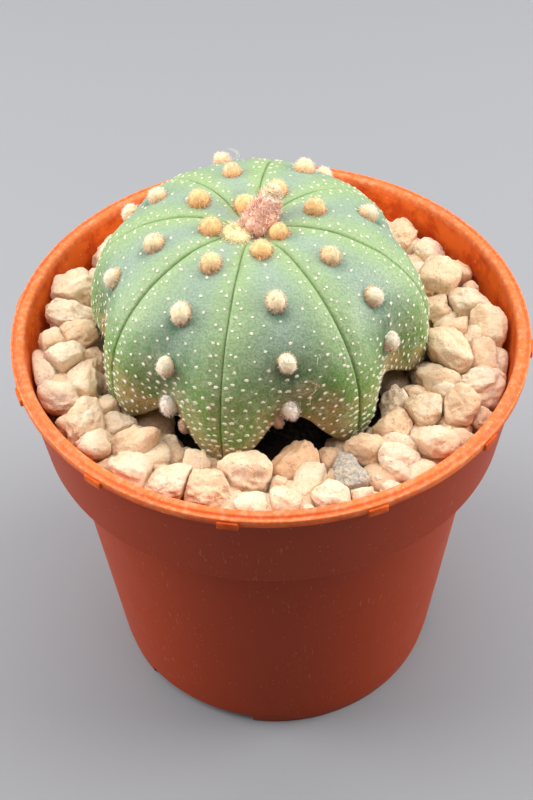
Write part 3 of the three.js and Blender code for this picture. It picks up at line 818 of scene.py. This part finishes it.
def make_stones(stones, others, level, seed):
    """Points, faces and stone numbers of stones, each held back where it meets its neighbours."""
    ways, triangles = ball(level)
    every_point, every_face = [], []
    for number, (centre, size, turn) in enumerate(stones):
        draw = random.Random(seed + number)
        tip = Matrix.Rotation(draw.uniform(-0.45, 0.45), 3, "X")
        tip = tip @ Matrix.Rotation(draw.uniform(-0.3, 0.3), 3, "Y")
        spin = Matrix.Rotation(math.radians(turn), 3, "Z") @ tip
        reach = lump(ways, draw)[:, None]
        points = (ways * reach * size * GROWN) @ np.array(spin).T
        for other_centre, other_size, other_turn in others:
            gap = other_centre - centre
            distance = np.linalg.norm(gap)
            if distance < 1e-6 or distance > 1.4 * (max(size) + max(other_size)):
                continue
            u = gap / distance
            own = reach_along(size, turn, u)
            its = reach_along(other_size, other_turn, u)
            far = points @ u
            limit = distance * own / (own + its) - STONE_GAP / 2
            points = points - np.outer(far - hold_back(far, limit), u)
        points = points + centre
        far = np.hypot(points[:, 0], points[:, 1])
        wall = inner_wall(points[:, 2]) - 0.2
        points[:, :2] *= (hold_back(far, wall) / np.maximum(far, 1e-6))[:, None]
        every_point.append(clear_of_plant(points))
        every_face.append(triangles + number * len(ways))
    return np.vstack(every_point), np.vstack(every_face), np.repeat(np.arange(len(stones)), len(ways))


upper = []
draw = random.Random(31)
for number, (x, y, long, wide, turn) in enumerate(lay_stones()):
    lift = draw.uniform(-0.2, 0.9) if number < len(LARGE_STONES) else draw.uniform(-0.9, 0.4)
    lift += 0.9 * (number == BROWN_STONE)
    lift += 0.6 * (x < -24)
    centre = np.array([x, y, bed_level(x, y) + 0.4 * wide + lift])
    upper.append((centre, np.array([long, wide, 0.86 * wide]), turn))

# The layer below: about one stone to every six millimetres, out of true, lower by the plant.
LOWER_STEP = 5.6
lower = []
draw = random.Random(52)
for i in range(-8, 9):
    for j in range(-8, 9):
        x = (i + 0.5 * (j % 2)) * LOWER_STEP + draw.uniform(-1, 1)
        y = j * LOWER_STEP * 0.87 + draw.uniform(-1, 1)
        size = draw.uniform(2.6, 3.5)
        drop = draw.uniform(0.1, 1.1)
        turn = draw.uniform(0, 180)
        if math.hypot(x, y) < 37 and from_plant(x, y) > 23:
            centre = np.array([x, y, bed_level(x, y) - drop])
            lower.append((centre, np.array([size * 1.15, size, size * 0.85]), turn))

LARGE_FROM = 2.9
large = [stone for stone in upper if stone[1][1] >= LARGE_FROM]
small = [stone for stone in upper if stone[1][1] < LARGE_FROM]

# Baked clay: dry, dusty and matt, tan to cream, mottled, with fine pits and dark grains in it.
clay, tree, shader = material("dry_baked_clay_granules", {
    "Roughness": 0.95, "Specular IOR Level": 0.3, "Subsurface Weight": 0.25,
    "Subsurface Radius": (1.0, 0.65, 0.4), "Subsurface Scale": 0.0008,
})
place = node(tree, "TexCoord", {}).outputs["Object"]
tone = node(tree, "Attribute", {}, attribute_name="tone").outputs["Fac"]
grey = node(tree, "Attribute", {}, attribute_name="grey").outputs["Fac"]
cloud = node(tree, "TexNoise", {"Vector": place, "Scale": 1000 / 2.8, "Detail": 5.0}).outputs[0]
drift = node(tree, "MapRange", {0: cloud, 1: 0.3, 2: 0.7, 3: -0.3, 4: 0.3}).outputs[0]
mixed = node(tree, "Math", {0: tone, 1: drift}, operation="ADD").outputs[0]
tan = node(tree, "ValToRGB", {0: mixed})
ramp(tan, [(0.0, "#EEBE94"), (0.35, "#F3CBA4"), (0.7, "#F7D6B2"), (1.0, "#FAE0C2")])
grit = {"Vector": place, "Scale": 1000 / 0.6, "Detail": 5.0, "Roughness": 0.7}
speckle = node(tree, "TexNoise", grit).outputs[0]
greys = node(tree, "ValToRGB", {0: speckle})
ramp(greys, [(0.35, "#9A948E"), (0.5, "#BDB2A4"), (0.65, "#DCC8A4")])
kinds = {0: grey, 6: tan.outputs[0], 7: greys.outputs[0]}
stone_colour = node(tree, "Mix", kinds, data_type="RGBA").outputs[2]
holes = node(tree, "TexVoronoi", {"Vector": place, "Scale": 1000 / 0.62})
hole = node(tree, "MapRange", {0: holes.outputs["Distance"], 1: 0.12, 2: 0.3, 3: 1.0, 4: 0.0}).outputs[0]
chance = node(tree, "SeparateColor", {0: holes.outputs["Color"]}).outputs[0]
pits = node(tree, "Math", {0: hole, 1: chance}, operation="MULTIPLY").outputs[0]
pit_dark = node(tree, "Math", {0: pits, 1: 0.22}, operation="MULTIPLY").outputs[0]
grain = node(tree, "MapRange", {0: speckle, 1: 0.3, 2: 0.7, 3: 0.82, 4: 1.06}).outputs[0]
shaded = {0: 1.0, 6: stone_colour, 7: grain}
grainy = node(tree, "Mix", shaded, data_type="RGBA", blend_type="MULTIPLY").outputs[2]
pitted = node(tree, "Mix", {0: pit_dark, 6: grainy, 7: linear("#9A6A48")}, data_type="RGBA").outputs[2]
knobs = node(tree, "TexNoise", {"Vector": place, "Scale": 1000 / 1.6, "Detail": 4.0}).outputs[0]
rough = node(tree, "Math", {0: knobs, 1: pits}, operation="SUBTRACT").outputs[0]
coarse = node(tree, "Bump", {"Height": rough, "Strength": 0.55, "Distance": 0.0005}).outputs[0]
fine = {"Height": speckle, "Strength": 0.9, "Distance": 0.0004, "Normal": coarse}
bump = node(tree, "Bump", fine).outputs[0]
tree.links.new(pitted, shader.inputs["Base Color"])
tree.links.new(bump, shader.inputs["Normal"])

for name, stones, others, level, seed in [
    ("gravel_large", large, upper, 5, 100), ("gravel_small", small, upper, 4, 300),
    ("gravel_below", lower, lower, 3, 600),
]:
    points, faces, numbers = make_stones(stones, others, level, seed)
    piece = new_mesh(name, points, faces, clay)
    draw = random.Random(seed)
    tones = np.array([draw.uniform(0.4, 1.1) for _ in stones])
    for number, stone in enumerate(stones):
        for front, tone in zip(upper, FRONT_TONES):
            if stone is front:
                tones[number] = tone
    is_grey = np.array([stone is upper[GREY_STONE] for stone in stones])
    set_mark(piece, "tone", tones[numbers])
    set_mark(piece, "grey", is_grey[numbers])
    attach(piece, "root")
    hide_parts("gravel")

# The bed under the stones: grit and dust that have sifted down, which show between them as shade.
# It is turned from the middle of its top out to the wall and down to its underside.
BED_DOWN = 3.4
BED_SIDES = 96
BED_RADIUS = 38.2
BED_FOOT_RADIUS = 37.4
BED_FLOOR = COLLAR_FLOOR + 0.35
outline = [(r, BED_MIDDLE) for r in np.linspace(0, BED_RADIUS, 40)]
points, faces = turned(outline + [(BED_FOOT_RADIUS, BED_FLOOR), (0, BED_FLOOR)], BED_SIDES)
top = points[: -1 - BED_SIDES]
top[:, 2] = bed_level(top[:, 0], top[:, 1]) - BED_DOWN + 0.5 * noise_at(top * (1, 1, 0), 1 / 1.6)
bed = new_mesh("gravel_grit", points, flipped(faces))
set_mark(bed, "open", ease((from_plant(points[:, 0], points[:, 1]) - 23) / 3))

# Clay dust and chips on peat: brown-tan where the stones rub, bare dark peat under the plant.
dust, tree, shader = material("clay_dust_on_peat", {"Roughness": 0.95})
place = node(tree, "TexCoord", {}).outputs["Object"]
is_open = node(tree, "Attribute", {}, attribute_name="open").outputs["Fac"]
chips = node(tree, "TexVoronoi", {"Vector": place, "Scale": 1000 / 1.2}).outputs[0]
tans = {0: chips, 6: linear("#B88C62"), 7: linear("#E2B98E")}
dusty = node(tree, "Mix", tans, data_type="RGBA").outputs[2]
tint = node(tree, "Mix", {0: is_open, 6: linear("#2A1D14"), 7: dusty}, data_type="RGBA").outputs[2]
bump = node(tree, "Bump", {"Height": chips, "Strength": 0.9, "Distance": 0.0008}).outputs[0]
tree.links.new(tint, shader.inputs["Base Color"])
tree.links.new(bump, shader.inputs["Normal"])
bed.data.materials.append(dust)
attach(bed, "root")
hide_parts("gravel")


# White flecks: dots of short white wool, about half a millimetre across, scattered over the
# skin. They line the creases in rows and grow larger and closer together towards the foot.
FLECK_ROWS = [(0.95, 1.75), (1.75, 2.3)]
FLECK_TRIES = 26000
FLECK_GAP = 1.75
FLECK_SIDES = 9
FLECK_RINGS = [(1.0, -0.25), (1.02, 0.1), (0.7, 0.32)]
HAIRS_ON_FLECK = 8
TUFT_CLEAR = 2.0
CROWN_CLEAR = 3.4
surface = BVHTree.FromObject(cactus, bpy.context.evaluated_depsgraph_get())


def on_skin(azimuth, s):
    """The true skin at a place: its point, and the directions down, sideways and out, in the part."""
    at, down, side, out = skin_frame(azimuth, s)
    at, down, side, out = to_part(at), down @ LEAN.T, side @ LEAN.T, out @ LEAN.T
    found = []
    for point, way in zip(at, out):
        hit = surface.ray_cast(Vector((point + 3 * way) * MM), -Vector(way))[0]
        found.append(np.array(hit) / MM if hit else point)
    return np.array(found), down, side, out


def copies(triangles, size, count):
    """The triangles of many copies of a shape that has this many points."""
    return (np.array(triangles)[None] + size * np.arange(count)[:, None, None]).reshape(-1, 3)


def dome_triangles(rows, sides):
    """Triangles of a dome that is open below: rows of points from its foot up, and one on top."""
    made = []
    for k in range(sides):
        n = (k + 1) % sides
        for b in range(0, (rows - 1) * sides, sides):
            made += [(b + k, b + sides + k, b + sides + n), (b + k, b + sides + n, b + n)]
        made.append(((rows - 1) * sides + k, rows * sides, (rows - 1) * sides + n))
    return made


def fibres(paths, thick):
    """Points and faces of three-sided hairs along paths, tapering to a point at the far end."""
    count, steps = paths.shape[:2]
    along = unit(paths[:, -1] - paths[:, 0])
    aside = unit(np.cross(along, [0.31, 0.53, 0.79]))
    across = np.cross(along, aside)
    thick = np.broadcast_to(np.asarray(thick, float), count)[:, None]
    size = 3 * (steps - 1) + 1
    points = np.zeros((count, size, 3))
    for step in range(steps - 1):
        half = thick * (1 - 0.75 * step / (steps - 1))
        for corner in range(3):
            a = 2 * math.pi * corner / 3
            off = half * (math.cos(a) * aside + math.sin(a) * across)
            points[:, 3 * step + corner] = paths[:, step] + off
    points[:, -1] = paths[:, -1]
    one = [(2, 1, 0)]
    for step in range(steps - 2):
        b = 3 * step
        for corner in range(3):
            n = (corner + 1) % 3
            one += [(b + corner, b + n, b + 3 + n), (b + corner, b + 3 + n, b + 3 + corner)]
    b = 3 * (steps - 2)
    one += [(b, b + 1, size - 1), (b + 1, b + 2, size - 1), (b + 2, b, size - 1)]
    return points.reshape(-1, 3), copies(one, size, count)


def joined(parts):
    """Several sets of points and triangles as one."""
    points, faces, start = [], [], 0
    for some_points, some_faces in parts:
        points.append(some_points)
        faces.append(np.asarray(some_faces) + start)
        start += len(some_points)
    return np.vstack(points), np.vstack(faces)


def random_in(draw, low, high, count):
    """Chance values between two limits."""
    return np.array([draw.uniform(low, high) for _ in range(count)])


draw = random.Random(77)
s_steps = np.arange(0, 1.0001, 0.004)
spots = []
for start, end in zip(RIB_EDGES, RIB_EDGES[1:]):
    for away, step in FLECK_ROWS:
        for edge, side in [(start, 1), (end, -1)]:
            line, gone = line_down(edge, s_steps)
            far = draw.uniform(3.5, 4.5) if away < 1.2 else draw.uniform(8, 10)
            while far < gone[-1]:
                s = float(np.interp(far, gone, s_steps))
                r = float(np.interp(far, gone, np.hypot(line[:, 0], line[:, 1])))
                if draw.random() < 0.88:
                    spots.append((edge + side * math.degrees((away + draw.uniform(-0.2, 0.2)) / r), s))
                far += step * blend(1.15, 0.8, s) * draw.uniform(0.8, 1.2)
azimuth = -180.0
while azimuth < 180:
    spots.append((azimuth, draw.uniform(0.965, 0.995)))
    azimuth += draw.uniform(1.4, 3.6)
spots = np.array(spots)
at = skin(spots[:, 0], spots[:, 1], False)
for _ in range(FLECK_TRIES):
    azimuth = draw.uniform(-180, 180)
    s = draw.uniform(0.07, 0.995)
    point = skin(azimuth, s, False)
    if draw.random() > math.hypot(point[0], point[1]) / 27:
        continue
    wanted = FLECK_GAP * blend(1.15, 0.66, float(ease((s - 0.45) / 0.5)))
    if np.linalg.norm(at - point, axis=1).min() > wanted:
        at = np.vstack([at, point])
        spots = np.vstack([spots, (azimuth, s)])
clear = np.linalg.norm(at[:, None] - tuft_at[None], axis=2).min(axis=1) > TUFT_CLEAR
spots = spots[clear & (np.hypot(at[:, 0], at[:, 1]) > CROWN_CLEAR)]
count = len(spots)

at, down, side, out = on_skin(spots[:, 0], spots[:, 1])
low = ease((spots[:, 1] - 0.45) / 0.5)
size = random_in(draw, 0.13, 0.235, count) * blend(1.0, 1.3, low)
wide = size * blend(1.1, 1.5, low) * random_in(draw, 0.9, 1.25, count)
domes = []
for part_out, level in FLECK_RINGS:
    for a in 2 * math.pi * np.arange(FLECK_SIDES) / FLECK_SIDES:
        jag = part_out * random_in(draw, 0.82, 1.15, count)
        spread = side * (math.cos(a) * jag * wide)[:, None] + down * (math.sin(a) * jag * size)[:, None]
        domes.append(at + spread + out * (level * size)[:, None])
domes.append(at + out * (0.4 * size)[:, None])
dome_faces = copies(dome_triangles(len(FLECK_RINGS), FLECK_SIDES), len(domes), count)
dome_points = np.stack(domes, 1).reshape(-1, 3)
paths = np.zeros((count * HAIRS_ON_FLECK, 2, 3))
for k in range(HAIRS_ON_FLECK):
    turn = random_in(draw, 0, 2 * math.pi, count)
    far = random_in(draw, 1.15, 1.9, count)
    way = side * (np.cos(turn) * wide)[:, None] + down * (np.sin(turn) * size)[:, None]
    rows = slice(k * count, (k + 1) * count)
    paths[rows, 0] = at + 0.5 * way + out * (0.35 * size)[:, None]
    paths[rows, 1] = at + way * far[:, None] + out * (random_in(draw, 0.1, 0.8, count) * size)[:, None]
points, faces = joined([(dome_points, dome_faces), fibres(paths, 0.045)])

# Short wool: white, dry and fluffy, so it catches light at every angle.
white_wool, _, _ = material("short_white_wool", {
    "Base Color": linear("#EEECD2"), "Roughness": 0.9, "Sheen Weight": 0.6, "Specular IOR Level": 0.2,
})
flecks = new_mesh("white_flecks", points, faces, white_wool)
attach(flecks, "root")
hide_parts("cactus")


# Wool tufts: oval pads of felted hair that stand along the middle of each rib. Young ones by the
# crown are orange-yellow and full, older ones cream, and the oldest low down whitish and worn.
TUFT_HALF = (1.42, 1.78, 1.92)
TUFT_HAIRS = 520
CORE_SIDES = 28
CORE_ROWS = 9
POINTS_IN_HAIR = 7


def fullness(ways):
    """How far a pad that is a little squarer than a ball reaches in each direction."""
    flat = np.hypot(ways[:, 0], ways[:, 1])
    return (flat**2.5 + np.abs(ways[:, 2]) ** 2.5) ** (-1 / 2.5)


def wool_pad(draw, at, down, side, out, half, hairs, length, loose=0.0, thick=0.034):
    """A pad of felted wool: a full, soft-edged mound, and hairs combed down it to a fringed foot."""
    half = np.array(half)
    roll = draw.uniform(-0.35, 0.35)
    basis = np.stack([side * math.cos(roll) + down * math.sin(roll),
                      down * math.cos(roll) - side * math.sin(roll), out])
    turn = 2 * math.pi * np.arange(CORE_SIDES) / CORE_SIDES
    offset = Vector([draw.uniform(-50, 50) for _ in range(3)])
    rows = [np.stack([np.cos(turn) * math.cos(lift), np.sin(turn) * math.cos(lift),
                      np.full_like(turn, math.sin(lift))], -1)
            for lift in np.linspace(-0.35, 0.5 * math.pi, CORE_ROWS + 1)[:-1]]
    ways = np.vstack(rows + [[[0, 0, 1]]])
    reach = fullness(ways) * (0.92 + 0.05 * noise_at(ways, 1.8, offset))
    core = at + (ways * half * reach[:, None]) @ basis
    turn = random_in(draw, 0, 2 * math.pi, hairs)
    fringe = np.arange(hairs) < 0.2 * hairs
    lift = 1.5 * random_in(draw, 0, 1, hairs) ** blend(2.0, 1.3, loose)
    lift = -0.05 + lift * np.where(fringe, 0.2, 1)
    root = np.stack([np.cos(turn) * np.cos(lift), np.sin(turn) * np.cos(lift), np.sin(lift)], -1)
    combed = np.stack([np.cos(turn) * np.sin(lift), np.sin(turn) * np.sin(lift), -np.cos(lift)], -1)
    stray = random_in(draw, -0.35, 0.35, 3 * hairs).reshape(-1, 3) * (1 + loose)
    proud = blend(1.3, blend(0.35, 0.9, loose), ease(lift / 0.7)) * random_in(draw, 0.5, 1.0, hairs)
    way = unit(combed * 0.55 + root * proud[:, None] + stray)
    far = (random_in(draw, 0.6, 1.0, hairs) * length * np.where(fringe, 1.3, 1))[:, None]
    curl = random_in(draw, -0.3, 0.3, 3 * hairs).reshape(-1, 3) * far
    start = root * half * (0.91 * fullness(root))[:, None]
    paths = np.stack([start, start + way * far * 0.5 + curl * 0.5, start + way * far - root * 0.12], 1)
    hair = fibres(at + paths @ basis, thick * np.where(fringe, 1.3, 1))
    points, faces = joined([(core, dome_triangles(CORE_ROWS, CORE_SIDES)), hair])
    # The edge mark carries the pad's lower side and fringe, which the material paints in shade.
    edge = np.repeat(np.where(fringe, 0.3, 0.85 - root[:, 2]), POINTS_IN_HAIR)
    edge = np.concatenate([1 - ways[:, 2], edge])
    light = np.repeat(random_in(draw, -1, 1, hairs), POINTS_IN_HAIR)
    light = np.concatenate([np.zeros(len(core)), light])
    return points, faces, np.clip(edge, 0, 1), light


# Felted wool: dry matt hair, deeper orange at its edge, partly from its darker fringe and partly as
# painted shade, and paler on its top as painted light.
wool, tree, shader = material("felted_plant_wool", {
    "Roughness": 0.92, "Subsurface Weight": 0.35, "Subsurface Radius": (1.0, 0.8, 0.5),
    "Subsurface Scale": 0.0006, "Sheen Weight": 0.7, "Specular IOR Level": 0.2,
})
age, edge, light = (
    node(tree, "Attribute", {}, attribute_name=name).outputs["Fac"] for name in ("age", "edge", "light")
)
place = node(tree, "TexCoord", {}).outputs["Object"]
crimp = node(tree, "TexNoise", {"Vector": place, "Scale": 1000 / 0.3, "Detail": 3.0}).outputs[0]
top = node(tree, "ValToRGB", {0: age})
ramp(top, [(0.0, "#FFECB0"), (0.12, "#FFD08A"), (0.3, "#FFE4B8"), (0.65, "#FFEFCE"),
           (0.88, "#FFF2E2"), (1.0, "#CFA078")])
shaded_brim = node(tree, "ValToRGB", {0: age})
ramp(shaded_brim, [(0.0, "#FFD27E"), (0.12, "#F6A04C"), (0.3, "#F6B67A"), (0.65, "#FBCC9A"),
            (0.88, "#FFE2D0"), (1.0, "#A87650")])
# Painted shade and light: the pad's edge and underside take the deeper brim colour, its top the paler
# one.
edge_shade_part = node(tree, "MapRange", {0: edge, 1: 0.35, 2: 0.95}).outputs[0]
yellows = {0: edge_shade_part, 6: top.outputs[0], 7: shaded_brim.outputs[0]}
tinted = node(tree, "Mix", yellows, data_type="RGBA").outputs[2]
strand = node(tree, "MapRange", {0: light, 1: -1.0, 2: 1.0, 3: 0.74, 4: 1.2}).outputs[0]
strands = {0: 1.0, 6: tinted, 7: strand}
felt = node(tree, "Mix", strands, data_type="RGBA", blend_type="MULTIPLY").outputs[2]
bump = node(tree, "Bump", {"Height": crimp, "Strength": 0.3, "Distance": 0.0001}).outputs[0]
tree.links.new(felt, shader.inputs["Base Color"])
tree.links.new(bump, shader.inputs["Normal"])

# Each is made where it stands, turned up a little low on the rib, and the lowest are ragged. Two
# small worn ones hang from the arches' edges, below the last tufts in front.
WORN = [(-82.5, 1.0), (-117.0, 1.0)]
draw = random.Random(9)
every_spot = np.vstack([tuft_spots, WORN])
at, down, side, out = on_skin(every_spot[:, 0], every_spot[:, 1])
out = unit(out + np.array([0, 0, 1.1]) * ease((every_spot[:, 1:] - 0.6) / 0.3))
down = np.cross(side, out)
parts, ages, edges, lights = [], [], [], []
for k, s in enumerate(every_spot[:, 1]):
    worn = k >= len(tuft_spots)
    oval = np.array([blend(1.16, 0.9, s), blend(0.9, 1.05, s), 1])
    half = np.array(TUFT_HALF) * oval * (0.62 if worn else draw.uniform(0.94, 1.1))
    ragged = 0.0 if worn else 0.6 * float(ease((s - 0.82) / 0.1))
    length = 0.85 * blend(1, 0.65, s) + 0.4 * ragged
    stand = (at[k], down[k], side[k], out[k])
    points, faces, edge, light = wool_pad(draw, *stand, half, TUFT_HAIRS, length, ragged)
    parts.append((points, faces))
    edges.append(edge)
    # Painted light: the ragged lowest tufts are made brighter.
    lights.append(light + ragged)
    ages.append(np.full(len(points), 1.0 if worn else 0.12 + 0.95 * max(0, s - 0.18)))
tufts = new_mesh("wool_tufts", *joined(parts), wool)
set_mark(tufts, "age", np.concatenate(ages))
set_mark(tufts, "edge", np.concatenate(edges))
set_mark(tufts, "light", np.concatenate(lights))
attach(tufts, "root")
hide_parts("cactus")


# Crown wool: the youngest wool, pale yellow and loose, heaped beside the growing point.
CROWN_WOOL_AZIMUTH = -140.0
CROWN_WOOL_FAR = 3.1
CROWN_WOOL_HALF = (2.6, 2.4, 1.15)
CROWN_WOOL_HAIRS = 520
CROWN_WOOL_LENGTH = 1.5
draw = random.Random(21)
s = np.array([along_rib(CROWN_WOOL_AZIMUTH, CROWN_WOOL_FAR)])
stand = (found[0] for found in on_skin(np.array([CROWN_WOOL_AZIMUTH]), s))
points, faces, edge, light = wool_pad(
    draw, *stand, CROWN_WOOL_HALF, CROWN_WOOL_HAIRS, CROWN_WOOL_LENGTH, loose=0.5, thick=0.05
)
crown_wool = new_mesh("crown_wool", points, faces, wool)
set_mark(crown_wool, "age", np.zeros(len(points)))
set_mark(crown_wool, "edge", 0.6 * edge)
# Painted light: the crown wool's hairs are made brighter than the tufts'.
set_mark(crown_wool, "light", 0.4 + 0.6 * light)
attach(crown_wool, "root")
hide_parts("cactus")


# Faded flower: a dried cone of crinkled petals and bristly scales, pink-red bleached to white,
# with a tip of tan wool. It leans up and back out of the crown.
FLOWER_AT = np.array([0.0, -0.8, 18.4])
FLOWER_LEAN = np.array([0.42, 0.32, 0.85])
FLOWER_HEIGHT = 9.6
FLOWER_SHAPE = [(0, 2.2), (1.6, 2.8), (3.0, 2.9), (4.6, 2.5), (6.2, 2.05), (7.8, 1.6), (9.0, 1.25),
                (9.7, 0)]
BRISTLES = 1700
BRISTLE_STEPS = 6
flower_z = LEAN @ unit(FLOWER_LEAN)
flower_x = unit(np.cross([0, 1, 0], flower_z))
flower_basis = np.stack([flower_x, np.cross(flower_z, flower_x), flower_z])
flower_base = to_part(FLOWER_AT[None])[0]
heights = np.linspace(0, FLOWER_HEIGHT, 25)
widths = np.interp(heights, *zip(*FLOWER_SHAPE))
outline = [(0, 0)] + [(0.86 * w, h) for w, h in zip(widths, heights)] + [(0, FLOWER_HEIGHT)]
points, faces = turned(outline, 40)
points[:, :2] *= (1 + 0.16 * noise_at(points, 0.9))[:, None]
core = flower_base + points @ flower_basis
core_faces = [face[:3] for face in faces] + [(f[0], f[2], f[3]) for f in faces if len(f) == 4]

# The bristles stand all over the core and curl. Those round its foot lie out over the crown.
draw = random.Random(5)
h = 0.4 + 8.8 * random_in(draw, 0, 1, BRISTLES) ** 1.15
turn = random_in(draw, 0, 2 * math.pi, BRISTLES)
w = np.interp(h, heights, widths)
root = np.stack([0.84 * w * np.cos(turn), 0.84 * w * np.sin(turn), h], -1)
outwards = np.stack([np.cos(turn), np.sin(turn), np.zeros(BRISTLES)], -1)
splay = random_in(draw, 0.0, 0.5, BRISTLES) + 0.6 * ease((3.5 - h) / 2.5)
way = outwards * splay[:, None] + [0, 0, 0.8]
way = way + random_in(draw, -0.6, 0.6, 3 * BRISTLES).reshape(-1, 3)
far = random_in(draw, 0.8, 1.9, BRISTLES) * blend(1.0, 0.5, ease((h - 5.5) / 3))
line = [root]
for step in range(BRISTLE_STEPS - 1):
    way = unit(way)
    line.append(line[-1] + way * (far / (BRISTLE_STEPS - 1))[:, None])
    way = way + random_in(draw, -1.1, 1.1, 3 * BRISTLES).reshape(-1, 3)
paths = np.stack(line, 1)
bristles = fibres(flower_base + paths @ flower_basis, 0.075)
bleached = 0.45 * (random_in(draw, 0, 1, BRISTLES) < 0.5)
kind = random_in(draw, 0.2, 0.55, BRISTLES) + bleached - 0.5 * ease((1.6 - h) / 1.0)
kind = blend(kind, random_in(draw, 0.85, 1.0, BRISTLES), ease((h - 6.8) / 1.2))
kind = np.where((h > 7) & (random_in(draw, 0, 1, BRISTLES) < 0.07), 0.0, kind)
core_kind = 0.45 - 0.3 * ease((2.4 - points[:, 2]) / 1.4) + 0.5 * ease((points[:, 2] - 6.8) / 1.2)
kind = np.concatenate([core_kind, np.repeat(kind, 3 * (BRISTLE_STEPS - 1) + 1)])
flower = new_mesh("flower_remnant_bristles", *joined([(core, core_faces), bristles]))
set_mark(flower, "kind", np.clip(kind, 0, 1))

# Dried petal tissue: thin, crinkled and papery, dark red where thick and bleached at the tips.
petal, tree, shader = material("dried_flower_bristles", {"Roughness": 0.75, "Specular IOR Level": 0.3})
kind = node(tree, "Attribute", {}, attribute_name="kind").outputs["Fac"]
faded = node(tree, "ValToRGB", {0: kind})
ramp(faded, [(0.0, "#6A5A30"), (0.14, "#DA8A72"), (0.35, "#FEBCA4"), (0.55, "#FFDCC8"),
             (0.75, "#FFF4E8"), (1.0, "#FADCAA")])
tree.links.new(faded.outputs[0], shader.inputs["Base Color"])
flower.data.materials.append(petal)
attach(flower, "root")
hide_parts("flower_remnant")


# Stray hairs: single long fibres of white wool, shed by the tufts and caught on the skin of the
# lower ribs in front. Three stand up curved beside the topmost tuft at the back.
STRAYS = [
    (-97, 0.80), (-93, 0.88), (-105, 0.93), (-88, 0.95), (-80, 0.97), (-72, 0.86), (-66, 0.78),
    (-60, 0.90), (-54, 0.96), (-47, 0.87), (-40, 0.93), (-112, 0.97), (-120, 0.90), (-130, 0.95),
    (-76, 0.92), (-100, 0.97), (-34, 0.80), (-28, 0.90), (-64, 0.62), (-90, 0.72),
]
UPRIGHT_AZIMUTHS = np.array([98.0, 96.5, 99.5])
UPRIGHT_CURLS = np.array([1.0, 0.7, 1.3])
draw = random.Random(64)
places = np.array([place for place in STRAYS for _ in range(3)], float)
count = len(places)
places += np.stack([random_in(draw, -3, 3, count), random_in(draw, -0.02, 0.01, count)], -1)
at, down, side, out = on_skin(places[:, 0], np.minimum(places[:, 1], 0.985))
heading = random_in(draw, 0, 2 * math.pi, count)
way = side * np.cos(heading)[:, None] + down * np.sin(heading)[:, None]
far = random_in(draw, 0.8, 2.2, count)[:, None]
bend = random_in(draw, -0.6, 0.6, count)[:, None] * np.cross(way, out)
steps = [at + out * 0.05]
for k in (0.33, 0.66, 1.0):
    rise = 0.15 + 0.9 * math.sin(math.pi * 0.8 * k) * random_in(draw, 0.1, 0.5, count)
    steps.append(at + (way + bend * k) * far * k + out * rise[:, None])
on_ribs = fibres(np.stack(steps, 1), 0.035)
at, _, side, out = on_skin(UPRIGHT_AZIMUTHS, np.full(3, along_rib(104.0, 19.6)))
curl = UPRIGHT_CURLS[:, None]
steps = [at + (0, 0, 2.3 * k) - side * (curl * math.sin(2.6 * k) - 1.6 * k * k) + out * 0.4 * k
         for k in np.linspace(0, 1, 7)]
strays = new_mesh("stray_wool_hairs", *joined([on_ribs, fibres(np.stack(steps, 1), 0.05)]), white_wool)
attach(strays, "root")
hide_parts("cactus")
